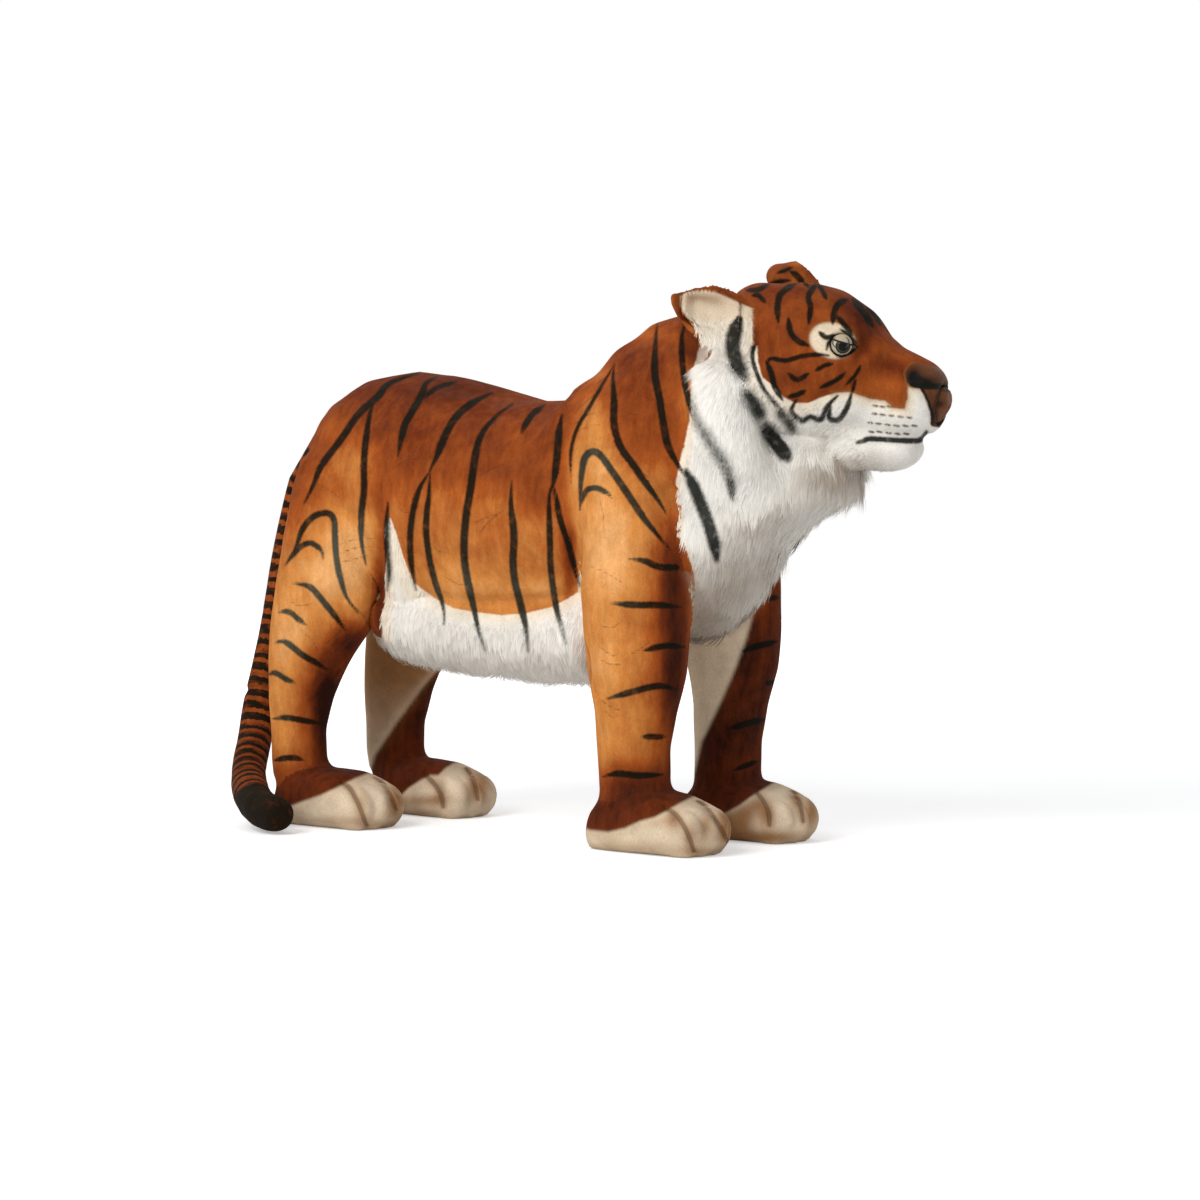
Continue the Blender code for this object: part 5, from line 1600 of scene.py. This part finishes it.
def makeEars():
    for side in ("left", "right"):
        hinge = next(joint for joint in frame["joints"] if joint["name"] == "ear_" + side + "_fold")
        root = Vector(hinge["pos_m"])
        points = pointsOf(nodes["ear_" + side].data)[0]
        far = Vector(points[np.linalg.norm(points - np.array(root), axis=1).argmax()])
        way = (far - root).normalized()
        for name, label in (("ear_" + side, "earBack"), ("ear_lining_" + side, "earLining")):
            mesh = remeshed(mergedNodes((name,)), name, ear["voxel"], ear["smoothRounds"])
            points, normals = pointsOf(mesh)
            if "lining" in name:
                points = points + normals * ear["liningSwell"]
            else:
                # The cover runs on down into the head, where it is sewn in
                height = (points - np.array(root)) @ np.array(way)
                sink = soften(-height, -0.006, 0.004) * ear["rootDepth"]
                points = points - np.array(way) * sink[:, None]
            movePoints(mesh, earMoves(points, normals))
            points, normals = pointsOf(mesh)
            paint = paintEar(points, normals, name)
            skins[name] = (points, normals, trianglesOf(mesh), paint)
            setNumbers(mesh, paint)
            mesh.shade_smooth()
            mesh.materials.append(shortPlush)
            item = link(bpy.data.objects.new(label + side.capitalize(), mesh))
            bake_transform(item, plainBody, "ear_" + side, start=tuple(root),
                     end=tuple(root + way * ear["bendLength"]))
            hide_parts(name)
        tuft = growPile("earTuft" + side.capitalize(), ("ear_lining_" + side, "ear_" + side), 15000, 1500,
                        (-0.3, 0.0, -0.95), earTuftMarks)
        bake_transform(tuft, plainBody, "ear_" + side, start=tuple(root),
                 end=tuple(root + way * ear["bendLength"]))


makeEars()
print("ears made")


# Nose, in smooth leather with two carved nostrils
noseForm = {
    "voxel": 0.0013,
    "smoothRounds": 6,
    "nostril": (0.0180, 0.0010, 0.0056, 0.0046),   # beside the middle, height, and how wide and deep
    "grooveDepth": 0.0022,
    "darkest": (0.005, 0.003, 0.002),
    "worn": (0.19, 0.072, 0.028),
}


def makeNoseLeather():
    material, tree, shader = newMaterial("noseLeather")
    place = addNode(tree, "ShaderNodeTexCoord").outputs["Object"]
    grain = addNode(tree, "ShaderNodeTexVoronoi", feature="DISTANCE_TO_EDGE", in_Scale=520)
    wire(tree, (place, grain.inputs["Vector"]))
    patch = noiseAt(tree, place, 60, 3.0)
    shade = rampBetween(tree, readNumber(tree, "shade"), 0.0, 1.0)
    dark = mixColour(tree, shade, coat["leather"], noseForm["darkest"])
    worn = mixColour(tree, rampBetween(tree, patch, 0.35, 0.7), dark, noseForm["worn"])
    wire(tree, (mixColour(tree, 0.35, dark, worn), shader.inputs["Base Color"]))
    bump = addNode(tree, "ShaderNodeBump", in_Strength=0.35, in_Distance=0.0006)
    wire(tree, (rampBetween(tree, grain.outputs["Distance"], 0.0, 0.25), bump.inputs["Height"]),
         (bump.outputs[0], shader.inputs["Normal"]),
         (rampBetween(tree, patch, 0.3, 0.7, 0.44, 0.60), shader.inputs["Roughness"]))
    shader.inputs["Specular IOR Level"].default_value = 0.12
    return material


def makeNose():
    mesh = remeshed(mergedNodes(("nose",)), "nose", noseForm["voxel"], noseForm["smoothRounds"])
    points, normals = pointsOf(mesh)
    low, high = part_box("nose")
    centre = np.array((low + high) / 2)
    beside = (points - centre) @ headLeft
    ahead = (points - centre) @ headAhead
    height = points[:, 2] - centre[2]
    spread, drop, wide, deep = noseForm["nostril"]
    hole = np.exp(-(((np.abs(beside) - spread) / wide) ** 2 + ((height - drop) / (wide * 0.62)) ** 2))
    front = soften(ahead, 0.0, 0.008)
    groove = np.exp(-((beside / 0.0016) ** 2)) * soften(-height, -0.004, 0.004)
    # The tip tapers towards the mouth
    taper = 0.0045 * soften(-height, -0.004, 0.016) * soften(ahead, -0.01, 0.006)
    points = points - headAhead * taper[:, None]
    points = points - normals * (hole * deep * front + groove * noseForm["grooveDepth"] * front)[:, None]
    movePoints(mesh, points)
    points, normals = pointsOf(mesh)
    spots = photoSpots(points, normals, True)[0]
    band = np.exp(-((np.maximum(strokeGap(spots, muzzleLines[1:], 0.8), 0) / 1.2) ** 2))
    # Painted shade darkens the carved nostrils and the nose towards its rim; the band is the nose's dark line
    rim = soften(np.hypot(beside, height), 0.013, 0.024)
    shade = 0.8 * hole * front + band + 0.6 * rim + toneAt(spots, noseShade)
    setNumbers(mesh, {"shade": np.clip(shade, 0, 1)})
    mesh.shade_smooth()
    mesh.materials.append(makeNoseLeather())
    item = link(bpy.data.objects.new("noseCover", mesh))
    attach(item, plainBody)
    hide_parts("nose")


makeNose()
print("nose made")


# Eyes: a glossy ball with a painted iris, inside a rolled leather rim
eye = {
    "segments": 40,
    "rings": 28,
    "lookAhead": 0.48,
    "lookOut": 0.86,
    "lookUp": -0.24,
    "iris": 0.70,            # radians from the pupil's middle to the iris's edge
    "pupil": 0.46,
    "rimRadius": 0.0092,
    "rimThick": 0.0010,
    "rimFlat": 0.80,
}


def makeEyeGloss(name, centre, look):
    material, tree, shader = newMaterial(name)
    place = addNode(tree, "ShaderNodeTexCoord").outputs["Object"]
    centred = addNode(tree, "ShaderNodeVectorMath", operation="SUBTRACT")
    centred.inputs[1].default_value = centre
    even = addNode(tree, "ShaderNodeVectorMath", operation="NORMALIZE")
    facing = addNode(tree, "ShaderNodeVectorMath", operation="DOT_PRODUCT")
    facing.inputs[1].default_value = look
    wire(tree, (place, centred.inputs[0]), (centred.outputs[0], even.inputs[0]),
         (even.outputs[0], facing.inputs[0]))
    angle = mathNode(tree, "ARCCOSINE", facing.outputs["Value"])
    streak = noiseAt(tree, even.outputs[0], 14, 4.0)
    iris = mixColour(tree, streak, (0.012, 0.014, 0.006), (0.075, 0.070, 0.034))
    ringed = rampBetween(tree, angle, eye["iris"] * 0.82, eye["iris"])
    edge = mixColour(tree, ringed, iris, (0.012, 0.014, 0.012))
    paleBall = rampBetween(tree, angle, eye["iris"] * 1.06, eye["iris"] * 1.2)
    ball = mixColour(tree, paleBall, edge, (0.46, 0.40, 0.30))
    outside = rampBetween(tree, angle, eye["pupil"] * 0.92, eye["pupil"] * 1.06)
    whole = mixColour(tree, outside, (0.004, 0.004, 0.004), ball)
    # The upper lid, drawn down towards the nose, and its dark lash line
    raised = addNode(tree, "ShaderNodeVectorMath", operation="DOT_PRODUCT")
    raised.inputs[1].default_value = Vector(headAhead * 0.30) + Vector((0, 0, 0.95))
    wire(tree, (even.outputs[0], raised.inputs[0]))
    height = raised.outputs["Value"]
    lid = rampBetween(tree, height, 0.30, 0.36)
    lidded = mixColour(tree, lid, whole, (0.42, 0.34, 0.24))
    above = rampBetween(tree, height, 0.14, 0.22)
    lash = mathNode(tree, "MULTIPLY", above, rampBetween(tree, height, 0.32, 0.40, 1.0, 0.0))
    wire(tree, (mixColour(tree, lash, lidded, (0.006, 0.005, 0.004)), shader.inputs["Base Color"]),
         (rampBetween(tree, height, 0.12, 0.22, 0.08, 0.60), shader.inputs["Roughness"]))
    shader.inputs["Specular IOR Level"].default_value = 0.12
    return material


def makeLids():
    material, tree, shader = newMaterial("lidLeather")
    place = addNode(tree, "ShaderNodeTexCoord").outputs["Object"]
    grain = noiseAt(tree, place, 700, 3.0)
    colour = mixColour(tree, grain, (0.006, 0.006, 0.005), (0.022, 0.020, 0.015))
    wire(tree, (colour, shader.inputs["Base Color"]),
         (rampBetween(tree, grain, 0.3, 0.7, 0.35, 0.6), shader.inputs["Roughness"]))
    return material


def makeEyes():
    lidLeather = makeLids()
    for side, sign in (("left", 1), ("right", -1)):
        low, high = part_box("eye_" + side)
        centre = (low + high) / 2
        radius = (high.z - low.z) / 2
        look = Vector(headAhead * eye["lookAhead"] + headLeft * (sign * eye["lookOut"]))
        look.z = eye["lookUp"]
        look.normalize()
        bm = bmesh.new()
        bmesh.ops.create_uvsphere(bm, u_segments=eye["segments"], v_segments=eye["rings"], radius=radius)
        bmesh.ops.translate(bm, verts=bm.verts, vec=centre)
        mesh = meshFrom(bm, "eyeBall" + side.capitalize())
        mesh.shade_smooth()
        mesh.materials.append(makeEyeGloss("eyeGloss" + side.capitalize(), centre, look))
        ball = link(bpy.data.objects.new("eyeBall" + side.capitalize(), mesh))
        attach(ball, plainBody)
        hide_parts("eye_" + side)
        out = Vector(headLeft * sign) + Vector(headAhead * 0.22) + Vector((0, 0, 0.28))
        out.normalize()
        seat = centre + out * math.sqrt(max(radius**2 - eye["rimRadius"] ** 2, 0))
        bm = bmesh.new()
        ring = bmesh.ops.create_circle(bm, segments=10, radius=eye["rimThick"])["verts"]
        bmesh.ops.rotate(bm, verts=ring, cent=(0, 0, 0), matrix=Matrix.Rotation(math.radians(90), 3, "X"))
        bmesh.ops.translate(bm, verts=ring, vec=(eye["rimRadius"], 0, 0))
        bmesh.ops.spin(bm, geom=bm.verts[:] + bm.edges[:], cent=(0, 0, 0), axis=(0, 0, 1), angle=math.tau,
                       steps=40, use_merge=True)
        bmesh.ops.remove_doubles(bm, verts=bm.verts, dist=0.00001)
        bmesh.ops.recalc_face_normals(bm, faces=bm.faces)
        bmesh.ops.scale(bm, verts=bm.verts, vec=(1, eye["rimFlat"], 1))
        turn = Matrix.Translation(seat) @ out.to_track_quat("Z", "Y").to_matrix().to_4x4()
        bmesh.ops.transform(bm, matrix=turn, verts=bm.verts)
        mesh = meshFrom(bm, "eyeRim" + side.capitalize())
        mesh.shade_smooth()
        mesh.materials.append(lidLeather)
        rim = link(bpy.data.objects.new("eyeRim" + side.capitalize(), mesh))
        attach(rim, plainBody)


makeEyes()
print("eyes made")


# Short finishes that don't carry the coat
def makeSteel():
    material, tree, shader = newMaterial("brushedTube")
    place = addNode(tree, "ShaderNodeTexCoord").outputs["Object"]
    brushed = noiseAt(tree, place, 220, 3.0)
    colour = mixColour(tree, brushed, (0.30, 0.31, 0.33), (0.46, 0.47, 0.49))
    wire(tree, (colour, shader.inputs["Base Color"]),
         (rampBetween(tree, brushed, 0.2, 0.8, 0.28, 0.5), shader.inputs["Roughness"]))
    shader.inputs["Metallic"].default_value = 1.0
    return material


steel = makeSteel()
for name in frameNodes:
    nodes[name].data.materials.clear()
    nodes[name].data.materials.append(steel)
